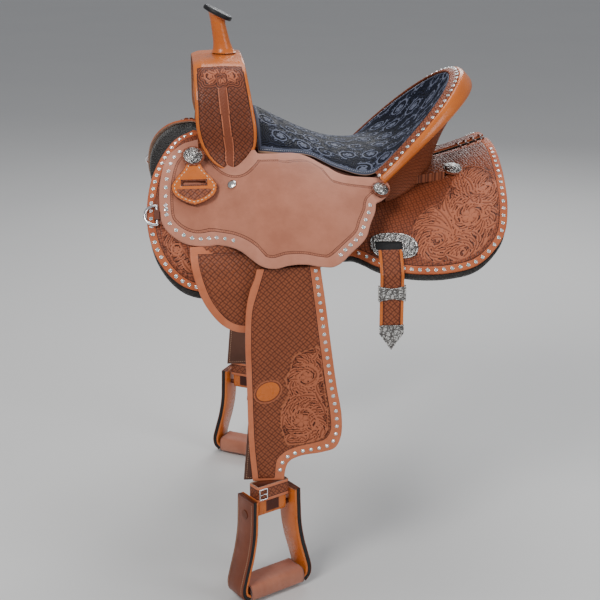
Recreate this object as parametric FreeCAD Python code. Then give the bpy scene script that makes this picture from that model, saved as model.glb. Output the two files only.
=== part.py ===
"""Western barrel saddle, modelled as its separate pieces.

Frame: millimetres, +X to the rear (cantle), -Y to the rider's left, +Z up.  The origin is on the
centreline, on the ridge of the horse's back or rack, where the rise to the withers begins.
Everything is made for the left side and mirrored across the XZ plane for the right side.
"""
import FreeCAD
import Part
import math
import os
from FreeCAD import Vector

# ---------------------------------------------------------------- driving dimensions
BACK_RADIUS = 330.0        # round of the horse's back that the saddle sits on
ROCKER_RADIUS = 1000.0     # the back curves up behind the rider on this radius
WITHERS_RISE = 122.0       # how much higher the back is at the withers
WITHERS_IN = 45.0          # each side's arc centre moves across the centreline there
WITHERS_RUN = 230.0        # length over which the back rises to the withers

LINING = 12.0              # woolskin under the skirts
WOOL_INSET = 4.0           # the wool stops this far inside the skirt's edge
SKIRT = 5.0                # skirt leather
BAR = 15.0                 # tree bar thickness
GAP = 0.3                  # clearance between stacked layers
GULLET_HALF = 52.0         # the channel over the withers is open this far each side
SKIRT_TOP = LINING + GAP + SKIRT
BAR_TOP = SKIRT_TOP + GAP + BAR

JOCKEY = 4.5               # seat jockey leather
COVER = 3.0                # leather over the fork, cantle and seat
SEAT_WIDTH = 330.0         # across the cantle corners
CANTLE_CORNER = (125.0, 56.0)      # x, z of the rim where it meets the jockeys
CANTLE_TOP = (293.0, 217.0)        # x, z of the rim on the centreline
CANTLE_UNDERCUT = 50.0             # the back of the cantle slopes in this far on its way down

HORN_POST_R = 11.0
HORN_CAP_R = 29.5
HORN_CAP_T = 10.0
HORN_TILT = 27.0           # cap slopes down towards the rider
HORN_CAP_CENTRE = (-156.5, 342.5)  # x, z of the middle of the cap's top face
HORN_FOOT = (-147.2, 0.0, 244.0)   # where the post stands in the fork

FENDER_Y = (-313.0, -308.0)        # outer and inner face of the hanging fender
LEATHER_Y = (-307.5, -301.5)       # outer and inner face of the stirrup leather
LIFT_AXIS = (-304.5, -97.0)        # y, z of the line the fender lifts about
SWING_AXIS = (-68.0, -75.0)        # x, z of the line the leathers swing about
LEAN = 0.084               # the stirrup leather leans forward by this slope
NECK_Z = -503.0            # foot of the fender, where the hobble strap begins
LEATHER_W = 76.0           # 3 in stirrup leather
HANGER_W = 60.0            # the part of it round the tree bar

TURN = 30.0                # the stirrup stands turned this far from flat
STIRRUP_AT = (-92.0, -312.0)       # x, y of the vertical line it turns about
BOLT_Z = -560.0
BOLT_R = 5.0               # bolt between the stirrup's branches
STIRRUP_DEPTH = 50.0       # of the wooden frame, front to rear
TREAD_HALF = 62.0          # half length of the wrapped tread, between the branches

BILLET_AXIS = (-249.0, -66.0)      # y, z of the slot bar the flank billet hangs from
BILLET_X = (119.0, 163.6)          # 44.6 mm (1 3/4 in) wide flank billet
BILLET_Y = -284.5                  # its inner face where it hangs straight
BILLET = 5.0                       # its thickness

NODES = {}


# ---------------------------------------------------------------- small helpers
def keep(name, shape):
    """Register one node's finished shape."""
    NODES[name] = shape


def keep_pair(stem, left):
    """Register a left piece and its mirror image."""
    keep(stem + "_left", left)
    keep(stem + "_right", mirrored(left))


def keep_both(name, left):
    """Register left pieces and their mirror images as one node of separate solids."""
    keep(name, Part.makeCompound(left + [mirrored(piece) for piece in left]))


def mirrored(shape):
    return shape.mirror(Vector(0, 0, 0), Vector(0, 1, 0))


def smooth_step(u):
    u = min(max(u, 0.0), 1.0)
    return u * u * (3.0 - 2.0 * u)


def run_edge(points):
    """A straight edge through two points, or one smooth curve through more."""
    if len(points) == 2:
        return Part.makeLine(points[0], points[1])
    curve = Part.BSplineCurve()
    curve.interpolate(points)
    return curve.toShape()


def side_wire(runs, y=0.0):
    """A closed wire in the side view, from runs of (x, z) points that meet end to end."""
    edges = [run_edge([Vector(x, y, z) for x, z in run]) for run in runs]
    return Part.Wire(edges)


def outward(solid):
    """The same solid with its faces pointing outward."""
    if solid.Volume < 0:
        solid.reverse()
    return solid


def side_prism(runs, y_from, y_to):
    """The side-view outline, drawn out along Y."""
    return outward(Part.Face(side_wire(runs, y_from)).extrude(Vector(0, y_to - y_from, 0)))


def closed_section(points_a, points_b):
    """A closed wire from one curve, the line to the second curve's end, that curve, and back."""
    far = list(reversed(points_b))
    return Part.Wire([run_edge(points_a), Part.makeLine(points_a[-1], far[0]),
                      run_edge(far), Part.makeLine(far[-1], points_a[0])])


def loft(wires, ruled=False):
    return outward(Part.makeLoft(wires, True, ruled))


def polygon(points):
    """Closed wire through the points."""
    return Part.makePolygon(points + points[:1])


def box(low, high):
    size = [h - l for l, h in zip(low, high)]
    return Part.makeBox(size[0], size[1], size[2], Vector(*low))


def rod(start, end, radius):
    start, end = Vector(*start), Vector(*end)
    return Part.makeCylinder(radius, (end - start).Length, start, end - start)


# ---------------------------------------------------------------- the horse's back
def back_centre(x):
    """Centre (y, z) of the arc that the left side of the back follows at station x."""
    rise = smooth_step(-x / WITHERS_RUN)
    rocker = x * x / (2.0 * ROCKER_RADIUS) if x > 0 else 0.0
    return WITHERS_IN * rise, -BACK_RADIUS + rocker + WITHERS_RISE * rise


def arc_band(x, centre, r_in, r_out, angle_top, angle_low):
    """Section wire of a band between two concentric arcs; angles are from straight up."""
    def at(radius, angle):
        return Vector(x, centre[0] - radius * math.sin(angle), centre[1] + radius * math.cos(angle))

    mid = (angle_top + angle_low) / 2.0
    outer = Part.Arc(at(r_out, angle_top), at(r_out, mid), at(r_out, angle_low)).toShape()
    inner = Part.Arc(at(r_in, angle_low), at(r_in, mid), at(r_in, angle_top)).toShape()
    return Part.Wire([outer, Part.makeLine(at(r_out, angle_low), at(r_in, angle_low)),
                      inner, Part.makeLine(at(r_in, angle_top), at(r_out, angle_top))])


BACK_STATIONS = (-330, -255, -190, -130, -70, 0, 110, 250, 400)


def back_layer(low, high, y_top=-14.0, z_low=-150.0):
    """A layer that lies between two offsets above the back, on the left side."""
    wires = []
    for x in BACK_STATIONS:
        centre = back_centre(x)
        angle_top = math.asin((centre[0] - y_top) / (BACK_RADIUS + high))
        angle_low = math.acos((z_low - centre[1]) / (BACK_RADIUS + high))
        wires.append(arc_band(x, centre, BACK_RADIUS + low, BACK_RADIUS + high, angle_top, angle_low))
    return loft(wires)


def back_point(x, y, offset):
    """Point above the back at station x and distance y to the left, and the outward normal."""
    yc, zc = back_centre(x)
    radius = BACK_RADIUS + offset
    z = zc + math.sqrt(radius ** 2 - (y - yc) ** 2)
    return Vector(x, y, z), Vector(0, (y - yc) / radius, (z - zc) / radius)


# ---------------------------------------------------------------- skirts and lining
SKIRT_OUTLINE = [
    [(-190, 170), (-214, 118), (-249, 107), (-274, 86), (-294, 55), (-304, 17), (-304, -25), (-293, -63),
     (-270, -98), (-241, -121), (-205, -131), (-150, -131), (-60, -112), (20, -92), (72, -86), (117, -102),
     (160, -111), (205, -114), (249, -111), (295, -100), (328, -78), (355, -46), (367, -10), (373, 30),
     (377, 71), (380, 90), (382, 170)],
    [(382, 170), (-190, 170)],
]


def skirts():
    prism = side_prism(SKIRT_OUTLINE, -400, 0)
    channel = box((-340, -GULLET_HALF, -200), (-95, GULLET_HALF, 300))
    leather = back_layer(LINING + GAP, SKIRT_TOP).common(prism).cut(channel)
    keep_pair("skirt", leather)
    edge = [(x + (WOOL_INSET if x < 0 else -WOOL_INSET), z + (WOOL_INSET if z < 0 else 0))
            for x, z in SKIRT_OUTLINE[0]]
    inset = [edge, [edge[-1], edge[0]]]
    wool = back_layer(0, LINING).common(side_prism(inset, -400, 0)).cut(channel)
    keep_both("skirt_linings", [wool])
    laces = []
    for x in (322, 337, 352, 367):
        seat, _ = back_point(x, -20, SKIRT_TOP + 2.4)
        laces.append(rod((x, -20, seat.z), (x, 20, seat.z), 2.0))
    keep("skirt_lacing", Part.makeCompound(laces))


# ---------------------------------------------------------------- tree
def tree_bars():
    corners = [(-206, 200), (-206, 60), (-150, 20), (0, -20), (180, -30), (268, 10), (268, 200)]
    outline = [[a, b] for a, b in zip(corners, corners[1:] + corners[:1])]
    layer = back_layer(SKIRT_TOP + GAP, BAR_TOP, y_top=-GULLET_HALF - 4, z_low=-60.0)
    bar = layer.common(side_prism(outline, -124, 0))
    keep_both("tree_bars", [bar])


def horn_axis():
    """Foot of the horn's post, the middle of the cap's underside, and the cap's normal."""
    tilt = math.radians(HORN_TILT)
    normal = Vector(math.sin(tilt), 0, math.cos(tilt))
    top = Vector(HORN_CAP_CENTRE[0], 0, HORN_CAP_CENTRE[1])
    return Vector(*HORN_FOOT), top - normal * HORN_CAP_T, normal


def horn_bore():
    """Hole that the horn's post stands in, with a running clearance."""
    foot, under, _ = horn_axis()
    reach = under - foot
    start = foot - Vector(reach).normalize()
    return Part.makeCylinder(HORN_POST_R + GAP, reach.Length, start, reach)


def arch_profile(x, width, top, z_ends):
    """Front-view arch over the withers: half of it on each side, low ends flared outward."""
    half = [(width + 27, z_ends), (width + 5, z_ends + 38), (width, z_ends + 98), (width - 18, top - 50),
            (width * 0.6, top - 9)]
    left = [Vector(x, -y, z) for y, z in half]
    right = [Vector(x, y, z) for y, z in reversed(half)]
    return left + [Vector(x, 0, top)] + right


def gullet_profile(x, grow):
    half = [(88 + grow, 30), (84 + grow, 88), (62 + grow, 138 + grow), (30, 158 + grow)]
    left = [Vector(x, -y, z) for y, z in half]
    right = [Vector(x, y, z) for y, z in reversed(half)]
    return left + [Vector(x, 0, 162 + grow)] + right


ARCH_FOOT = 55.0           # height of the fork's low ends
FORK_STATIONS = ((-214, 8), (-196, 2), (-155, 0), (-114, 2), (-92, 9))     # x, how much smaller
SWELL_HALF_WIDTH = 152.0
FORK_TOP = 262.0
SHIELD = [
    [(-200, 300), (-210, 195), (-208, 138), (-197, 104), (-179, 81), (-144, 61)],
    [(-144, 61), (-119, 80), (-100, 104), (-96, 136), (-104, 190), (-120, 300)],
    [(-120, 300), (-200, 300)],
]


def swell_arch(x, less):
    return arch_profile(x, SWELL_HALF_WIDTH - less, FORK_TOP - less, ARCH_FOOT)


def arch_loft(inset, inner):
    """Loft of arch sections; the inner boundary is the gullet arch or a thinner arch."""
    wires = []
    for x, less in FORK_STATIONS:
        outer = swell_arch(x, less + inset)
        wires.append(closed_section(outer, inner(x, less)))
    return loft(wires)


def fork_and_covers():
    shield = side_prism(SHIELD, -260, 260)
    skin = arch_loft(0, lambda x, less: swell_arch(x, less + COVER))
    hole = horn_bore()
    keep("swell_cover", skin.common(shield).cut(hole))

    small = [[(-196, 300), (-205, 195), (-203, 140), (-191, 114), (-172, 96), (-144, 82)],
             [(-144, 82), (-124, 96), (-108, 114), (-101, 140), (-109, 190), (-125, 300)],
             [(-125, 300), (-196, 300)]]
    body = arch_loft(COVER + GAP, lambda x, less: gullet_profile(x, 0)).common(side_prism(small, -260, 260))
    under = back_layer(-40, BAR_TOP + GAP, y_top=20.0)
    body = body.cut(under).cut(mirrored(under))
    keep("tree_fork", body.cut(hole))

    wires = []
    for x in (-200, -150, -104):
        wires.append(closed_section(gullet_profile(x, -GAP), gullet_profile(x, -GAP - 2.5)))
    lining = loft(wires).common(box((-200, -200, 96), (-104, 200, 300)))
    keep("gullet_cover", lining.cut(under).cut(mirrored(under)))


# ---------------------------------------------------------------- horn
def horn():
    foot, under, normal = horn_axis()
    plate = Part.makeCylinder(HORN_CAP_R - 4.5, 5.0, under, normal)
    reach = under - normal - foot
    keep("horn_core", Part.makeCylinder(HORN_POST_R, reach.Length, foot, reach).fuse(plate).removeSplitter())
    pocket = Part.makeCylinder(HORN_CAP_R - 4.2, 5.3, under - normal * 0.1, normal)
    cap = Part.makeCylinder(HORN_CAP_R, HORN_CAP_T, under, normal)
    rim = under.z + HORN_CAP_T * normal.z - 2.0
    cap = cap.makeFillet(3.0, [e for e in cap.Edges if e.Closed and e.CenterOfMass.z > rim])
    keep("horn_cap", cap.cut(pocket))
    base = Vector(-148.6, 0, FORK_TOP + 2 * GAP)
    axis = under - base
    wrap = Part.makeCone(24.0, 15.5, axis.Length + 20, base, axis)
    above = Part.makeCylinder(60.0, 60.0, under - normal * GAP, normal)
    wrap = wrap.cut(above).cut(box((-200, -50, 200), (-100, 50, base.z)))
    keep("horn_wrap", wrap.cut(Part.makeCylinder(HORN_POST_R + GAP, 140, foot, reach)))


# ---------------------------------------------------------------- cantle
SLOPE = Vector(CANTLE_TOP[0] - CANTLE_CORNER[0], 0, CANTLE_TOP[1] - CANTLE_CORNER[1])
SLOPE_LENGTH = SLOPE.Length
RIM_UP = Vector(-SLOPE.z, 0, SLOPE.x).normalize()
SLOPE = Vector(SLOPE).normalize()


def rim_frame(angle):
    """Point on the inner rim edge, and the outward direction in the rim's plane."""
    a = math.radians(angle)
    half = SEAT_WIDTH / 2.0
    corner = Vector(CANTLE_CORNER[0], 0, CANTLE_CORNER[1])
    point = corner + SLOPE * (SLOPE_LENGTH * math.cos(a)) + Vector(0, -half * math.sin(a), 0)
    out = SLOPE * (math.cos(a) / SLOPE_LENGTH) + Vector(0, -math.sin(a) / half, 0)
    return point, out.normalize()


def rim_depth(angle):
    """How far the roll reaches down behind the rim."""
    return 36.0 + 34.0 * math.cos(math.radians(angle)) ** 2


def rim_loft(profile, reach=90):
    """Sweep an (outward, up) profile, given the roll depth, round the cantle rim."""
    wires = []
    for angle in range(-reach, reach + 1, 10):
        point, out = rim_frame(angle)
        wires.append(polygon([point + out * r + RIM_UP * h for r, h in profile(rim_depth(angle))]))
    return loft(wires, ruled=True)


def cantle():
    keep("tree_cantle", rim_loft(lambda d: [(1, -7), (15, -13.5), (14, -d + 3), (2, -d + 5)]))
    keep("cantle_facing", rim_loft(lambda d: [(0.4, 0), (19, -8), (17, -11.5), (0.4, -5)]))
    keep("cheyenne_roll", rim_loft(lambda d: [(19.5, -8.8), (27, -19), (27, -0.62 * d), (17, -d),
                                              (15.4, -d + 6), (15.4, -14.2), (17.4, -12.4)]))
    wires = []
    for angle in range(-70, 71, 10):
        point, out = rim_frame(angle)
        top = point + out * 13.4 + RIM_UP * (GAP - rim_depth(angle))
        inward = Vector(-out.x, -out.y, 0).normalize()
        foot = top + inward * (CANTLE_UNDERCUT - 1.2 * max(abs(angle) - 50, 0))
        foot.z = back_point(foot.x, -abs(foot.y), BAR_TOP + 6.0)[0].z
        wires.append(polygon([top, foot, foot + inward * COVER, top + inward * COVER]))
    keep("cantle_back", loft(wires, ruled=True))


def cantle_envelope():
    """Solid a little larger than the cantle's rim, which the seat jockeys are cut back from."""
    return rim_loft(lambda d: [(0, 0.6), (20, -8), (27.6, -18), (27.6, -0.62 * d), (17.4, -d - 0.6),
                               (1, -d - 0.6)])


# ---------------------------------------------------------------- seat
# x, half width, height of the edge, height of the middle
SEAT_STATIONS = ((-93, 128, 95, 158), (-50, 130, 93, 134), (5, 112, 84, 107), (60, 140, 62, 88),
                 (118, 158, 54, 84), (165, 159, 92, 88), (205, 144, 130, 108), (248, 110, 171, 148),
                 (281, 60, 203, 194))


def seat_layer(top_drop, low_drop, wider=0.0):
    """The seat's whole surface as a layer between two depths below its top."""
    wires = []
    for x, half, edge, middle in SEAT_STATIONS:
        w = half + wider
        heights = ((-1.0, 0.0), (-0.55, 0.72), (0.0, 1.0), (0.55, 0.72), (1.0, 0.0))
        curve = [Vector(x, f * w, edge + (middle - edge) * g) for f, g in heights]
        upper = [p - Vector(0, 0, top_drop) for p in curve]
        lower = [p - Vector(0, 0, low_drop) for p in curve]
        wires.append(closed_section(upper, lower))
    return loft(wires)


def seat():
    keep("seat_cover", seat_layer(0, COVER))
    for name, top_drop, low_drop, x_rear in (("seat_foam", COVER + GAP, 16, 262),
                                             ("ground_seat", 16.3, 24, 240),
                                             ("seat_strainer", 24.3, 26, 215)):
        keep(name, seat_layer(top_drop, low_drop).common(box((-200, -250, 0), (x_rear, 250, 300))))


# ---------------------------------------------------------------- seat jockeys
JOCKEY_OUTLINE = [
    [(-204, 118), (-208, 107)],
    [(-208, 107), (-236, 103), (-265, 85), (-278, 56), (-282, 20), (-278, -12), (-263, -31), (-238, -46),
     (-206, -52), (-157, -51), (-137, -56), (-119, -67), (-99, -78), (-78, -81), (-54, -76), (-25, -75),
     (6, -80), (27, -81), (45, -73), (60, -62), (92, -40), (103, -20), (115, -2), (118, 9)],
    [(118, 9), (135, 14), (149, 25), (146, 38), (126, 44)],
    [(126, 44), (62, 52), (30, 64), (5, 76), (-20, 85), (-48, 90), (-96, 92)],
    [(-96, 92), (-104, 98), (-122, 84), (-144, 71), (-170, 84), (-190, 102), (-204, 118)],
]


def bulged_arc(top, low, bulge):
    """Centre and end angles of the arc from top to low (y, z), standing out by bulge."""
    dy, dz = low[0] - top[0], low[1] - top[1]
    chord = math.hypot(dy, dz)
    radius = (chord * chord / 4.0 + bulge * bulge) / (2.0 * bulge)
    out = (dz / chord, -dy / chord)
    middle = ((top[0] + low[0]) / 2.0, (top[1] + low[1]) / 2.0)
    centre = (middle[0] + out[0] * (bulge - radius), middle[1] + out[1] * (bulge - radius))
    angles = [math.atan2(centre[0] - p[0], p[1] - centre[1]) for p in (top, low)]
    return centre, radius, angles


JOCKEY_STATIONS = ((-108, (-118, 106), (-322, -92), 38), (-60, (-112, 104), (-326, -92), 40),
                   (40, (-130, 64), (-326, -92), 34), (140, (-160, 48), (-298, -92), 14),
                   (170, (-160, 50), (-290, -92), 14))     # x, upper and lower end (y, z), bulge
JOCKEY_SEAM = -178.0       # ahead of this station the jockey lies on the skirt


def jockey_arc(x):
    """Centre, inner radius and end angles of the jockey's section at station x."""
    yc, zc = back_centre(min(x, JOCKEY_SEAM))
    radius = BACK_RADIUS + SKIRT_TOP + 3 * GAP
    ends = [math.asin((yc + 90.0) / radius), math.acos((-100.0 - zc) / radius)]
    known = [(JOCKEY_SEAM, (yc, zc), radius, ends)]
    if x <= JOCKEY_SEAM:
        return known[0][1:]
    known += [(station,) + bulged_arc(top, low, bulge) for station, top, low, bulge in JOCKEY_STATIONS]
    for (x0, c0, r0, e0), (x1, c1, r1, e1) in zip(known, known[1:]):
        if x <= x1:
            f = (x - x0) / (x1 - x0)
            centre = (c0[0] + (c1[0] - c0[0]) * f, c0[1] + (c1[1] - c0[1]) * f)
            return centre, r0 + (r1 - r0) * f, [e0[0] + (e1[0] - e0[0]) * f, e0[1] + (e1[1] - e0[1]) * f]
    return known[-1][1:]


def jockey_point(x, y):
    """Point on the jockey's outer face and the direction straight out of it."""
    def on_face(station, across):
        centre, radius, _ = jockey_arc(station)
        return Vector(station, across, centre[1] + math.sqrt((radius + JOCKEY) ** 2 - (across - centre[0]) ** 2))

    along = on_face(x + 4, y) - on_face(x - 4, y)
    around = on_face(x, y + 4) - on_face(x, y - 4)
    return on_face(x, y), along.cross(around).normalize()


def jockeys():
    """Left seat jockey: from the fork's foot, round under the seat's edge, to the cantle's corner."""
    wires = []
    for x in (-300, -270, -240, -210, -178, -143, -108, -84, -60, -10, 40, 90, 140, 170):
        centre, radius, ends = jockey_arc(x)
        wires.append(arc_band(x, centre, radius, radius + JOCKEY, ends[0], ends[1]))
    sheet = loft(wires, ruled=True).common(side_prism(JOCKEY_OUTLINE, -400, 0))
    sheet = sheet.cut(seat_layer(-1, 40, 0.5)).cut(cantle_envelope())
    over_bars = box((-215, -125.5, -100), (-125, 0, 200))
    swell = arch_loft(-0.6, lambda x, less: gullet_profile(x, 0))
    return sheet.cut(over_bars).cut(swell)


# ---------------------------------------------------------------- rigging
FLAP_OUTLINE = [
    [(-229.5, -60), (-229, -75), (-222, -108), (-204, -154), (-175, -192), (-150, -206), (-131, -209)],
    [(-131, -209), (-60, -209)],
    [(-60, -209), (-8, -170)],
    [(-8, -170), (-8, -60)],
    [(-8, -60), (-229.5, -60)],
]
FLAP = 3.5                 # rigging flap leather
SLOT_X = (-112.0, -56.0)
SLOT_Z = (-186.0, -172.0)


def rigging():
    profile = [(-257, -35), (-286, -85), (-297, -128), (-297, -215)]
    inner = [Vector(-240, y, z) for y, z in profile]
    outer = [Vector(-240, y - FLAP, z) for y, z in profile]
    flap = Part.Face(polygon(inner + outer[::-1])).extrude(Vector(240, 0, 0))
    flap = flap.common(side_prism(FLAP_OUTLINE, -400, 0))
    window = box((SLOT_X[0] - 3, -330, SLOT_Z[0] - 3), (SLOT_X[1] + 3, -250, SLOT_Z[1] + 3))
    keep_both("rigging_flaps", [flap.cut(window)])
    plate = box((-124, -295.6, -200), (-44, -292.6, -150))
    plate = plate.makeFillet(8.0, [e for e in plate.Edges if abs(e.tangentAt(0).y) > 0.9])
    plate = plate.cut(box((SLOT_X[0], -330, SLOT_Z[0]), (SLOT_X[1], -250, SLOT_Z[1])))
    keep_both("rigging_plates", [plate])


# ---------------------------------------------------------------- conchos
def concho_at(point, normal, radius, disc_t, dome):
    """Domed round concho standing on a surface point."""
    disc = Part.makeCylinder(radius, disc_t, point, normal)
    top = point + normal * disc_t
    ball_r = (radius ** 2 + dome ** 2) / (2.0 * dome)
    ball = Part.makeSphere(ball_r, top - normal * (ball_r - dome))
    cap = Part.makeCylinder(radius, dome + 1, top, normal).common(ball)
    return disc.fuse(cap).removeSplitter()


KEEPER_PIVOT_XY = (-217.0, -156.0)
KEEPER_MID_Y = -201.0


def keeper_frame():
    """Pivot point and plane normal of the latigo keeper, which lies along the jockey's round."""
    radius = BACK_RADIUS + SKIRT_TOP + GAP + JOCKEY
    yc, zc = back_centre(KEEPER_PIVOT_XY[0])
    mid_z = zc + math.sqrt(radius ** 2 - (KEEPER_MID_Y - yc) ** 2)
    normal = Vector(0, KEEPER_MID_Y - yc, mid_z - zc).normalize()
    touch = Vector(KEEPER_PIVOT_XY[0], KEEPER_MID_Y, mid_z) + normal * 2.0
    down = Vector(0, -normal.z, normal.y)
    up_run = (KEEPER_PIVOT_XY[1] - touch.y) / down.y
    return touch + down * up_run, normal, down


def conchos():
    discs, rosettes = [], []
    pivot, normal, _ = keeper_frame()
    head = pivot + normal * 4.4
    rosettes.append(Part.makeCylinder(17.0, 2.2, head, normal))
    discs.append(concho_at(head + normal * 2.5, normal, 12.5, 1.5, 3.5))

    middle, middle_normal = jockey_point(129.0, -202.5)
    foot = middle + middle_normal * 3.5
    rosettes.append(Part.makeCylinder(16.0, 2.2, foot, middle_normal))
    discs.append(concho_at(foot + middle_normal * 2.5, middle_normal, 11.5, 1.5, 3.5))

    rear, rear_normal = back_point(289, -103, SKIRT_TOP + 0.8)
    rosettes.append(Part.makeCylinder(21.0, 2.2, rear, rear_normal))
    discs.append(concho_at(rear + rear_normal * 2.5, rear_normal, 15.5, 1.5, 4.0))
    keep_both("conchos", discs)
    keep_both("concho_rosettes", rosettes)


def screws():
    """Screws of the tree, the jockeys' silver-headed screws and the posts of the latigo keepers."""
    fork = []
    for x in (-175, -130):
        foot, _ = back_point(x, -110, SKIRT_TOP + 2.6)
        fork.append(Part.makeCylinder(3.0, 22.0, foot, Vector(0, 0, 1)))
    spot, normal = jockey_point(-147.3, -208.0)
    head = concho_at(spot + normal * 1.2, normal, 7.0, 1.0, 2.0)
    pivot, out, _ = keeper_frame()
    post = Part.makeCylinder(3.0, 4.3, pivot + out * 0.05, out)
    keep_both("saddle_screws", fork + [head, post])


def latigo_keeper():
    """Pear-shaped leather keeper with a slot for the latigo, hanging from the front concho."""
    pivot, normal, down = keeper_frame()
    ahead = Vector(-1, 0, 0)

    def at(across, along, lift=0.0):
        return pivot + ahead * across + down * along + normal * lift

    half = [(0, -17), (14, -12), (17, 4), (15, 20), (30, 42), (42, 62), (38, 82), (20, 98), (0, 106)]
    left = [at(a, b) for a, b in half]
    right = [at(-a, b) for a, b in reversed(half)]
    face = Part.Face(Part.Wire([run_edge(left), run_edge(right)]))
    plate = face.extrude(normal * 4.0)
    slot = Part.Face(Part.makePolygon([at(-21, 54, -1), at(21, 54, -1), at(21, 61, -1), at(-21, 61, -1),
                                       at(-21, 54, -1)])).extrude(normal * 8.0)
    hole = Part.makeCylinder(3.1, 8, pivot - normal * 2, normal)
    keep_pair("latigo_keeper", plate.cut(slot).cut(hole))


# ---------------------------------------------------------------- breast-collar dee
DEE_WIRE = 2.6
DEE_RADIUS = 18.0


def dee_frame():
    spot, normal = back_point(-287.0, -238.0, SKIRT_TOP + 5.2)
    return spot, normal, Vector(0, -normal.z, normal.y)


def dee():
    spot, normal, down = dee_frame()
    ahead = Vector(-1, 0, 0)
    top, low = spot - down * DEE_RADIUS, spot + down * DEE_RADIUS
    nose = spot + ahead * (DEE_RADIUS + 4)
    path = Part.Wire([Part.makeLine(low, top), Part.Arc(top, nose, low).toShape()])
    straight = Part.makeCylinder(DEE_WIRE, 2 * DEE_RADIUS, top, down)
    section = Part.Wire(Part.makeCircle(DEE_WIRE, top, Part.Arc(top, nose, low).toShape().tangentAt(0)))
    bend = Part.Wire([path.Edges[1]]).makePipeShell([section], True, True)
    ends = Part.makeSphere(DEE_WIRE, top).fuse(Part.makeSphere(DEE_WIRE, low))
    keep_pair("dee_ring", straight.fuse(bend).fuse(ends).removeSplitter())

    block = box((-4.4, -9, -5.0), (4.4, 9, 4.4))
    block = block.cut(Part.makeCylinder(DEE_WIRE + 0.08, 40, Vector(0, -20, 0), Vector(0, 1, 0)))
    place = FreeCAD.Matrix(1, 0, 0, spot.x, 0, -down.y, normal.y, spot.y,
                           0, -down.z, normal.z, spot.z, 0, 0, 0, 1)
    clip = block.transformGeometry(place)
    keep_both("dee_clips", [clip])


# ---------------------------------------------------------------- flank rigging
def flank():
    ring = [(107, -70), (110, -58), (125, -52), (155, -50), (180, -53), (193, -62), (195, -72), (185, -84),
            (145, -87), (115, -82), (107, -70)]
    plate = back_layer(SKIRT_TOP + GAP, SKIRT_TOP + 3.3).common(side_prism([ring], -400, 0))
    slot = box((BILLET_X[0] - 2.5, -300, -75), (BILLET_X[1] + 2.5, -200, -62))
    keep_both("flank_plates", [plate.cut(slot)])

    profile = [(-252.5, -70.0), (-270.0, -88.0), (BILLET_Y + 0.5, -112.0), (BILLET_Y, -120.0), (BILLET_Y, -262.0)]
    inner = [Vector(BILLET_X[0], y, z) for y, z in profile]
    outer = [Vector(BILLET_X[0], y - BILLET, z) for y, z in profile]
    width = BILLET_X[1] - BILLET_X[0]
    strap = Part.Face(polygon(inner + outer[::-1])).extrude(Vector(width, 0, 0))
    middle = (BILLET_X[0] + BILLET_X[1]) / 2.0
    corners = [(BILLET_X[0], -50), (BILLET_X[0], -222), (middle, -252), (BILLET_X[1], -222), (BILLET_X[1], -50)]
    point = [[a, b] for a, b in zip(corners, corners[1:] + corners[:1])]
    keep_pair("flank_billet", strap.common(side_prism(point, -330, -200)))

    tip = [[(BILLET_X[0] - 1, -207), (BILLET_X[1] + 1, -207)], [(BILLET_X[1] + 1, -207), (BILLET_X[1] + 1, -224)],
           [(BILLET_X[1] + 1, -224), (middle, -257)], [(middle, -257), (BILLET_X[0] - 1, -224)],
           [(BILLET_X[0] - 1, -224), (BILLET_X[0] - 1, -207)]]
    face = BILLET_Y - BILLET
    keep_pair("billet_tip", side_prism(tip, face - GAP - 1.5, face - GAP))

    sleeve = box((BILLET_X[0] - 3, face - 3.4, -161), (BILLET_X[1] + 3, BILLET_Y + 2.8, -130))
    tunnel = box((BILLET_X[0] - 0.6, face - 0.4, -170), (BILLET_X[1] + 0.6, BILLET_Y + 0.4, -120))
    keep_pair("billet_keeper", sleeve.cut(tunnel))


# ---------------------------------------------------------------- fender and stirrup leather
FENDER_OUTLINE = [
    [(-115, -101.5), (-124, -125), (-131, -160), (-133.5, -215), (-131.5, -320), (-129, -430), (-123, NECK_Z)],
    [(-123, NECK_Z), (-63, NECK_Z)],
    [(-63, NECK_Z), (-61, -486), (-54, -468), (-33, -457), (9, -451), (34, -443), (45, -421), (46.5, -380),
     (36, -315), (25, -235), (13, -142), (7, -101.5)],
    [(7, -101.5), (-115, -101.5)],
]


def leather_x(z):
    """Middle of the stirrup leather, which leans forward on its way down."""
    return SWING_AXIS[0] + (z - LIFT_AXIS[1]) * LEAN


def lean(shape, z):
    """Tilt a piece about Y so that it lines up with the leaning stirrup leather."""
    middle = Vector(leather_x(z), 0, z)
    copy = shape.copy()
    copy.translate(middle)
    copy.rotate(middle, Vector(0, 1, 0), math.degrees(math.atan(LEAN)))
    return copy


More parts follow.
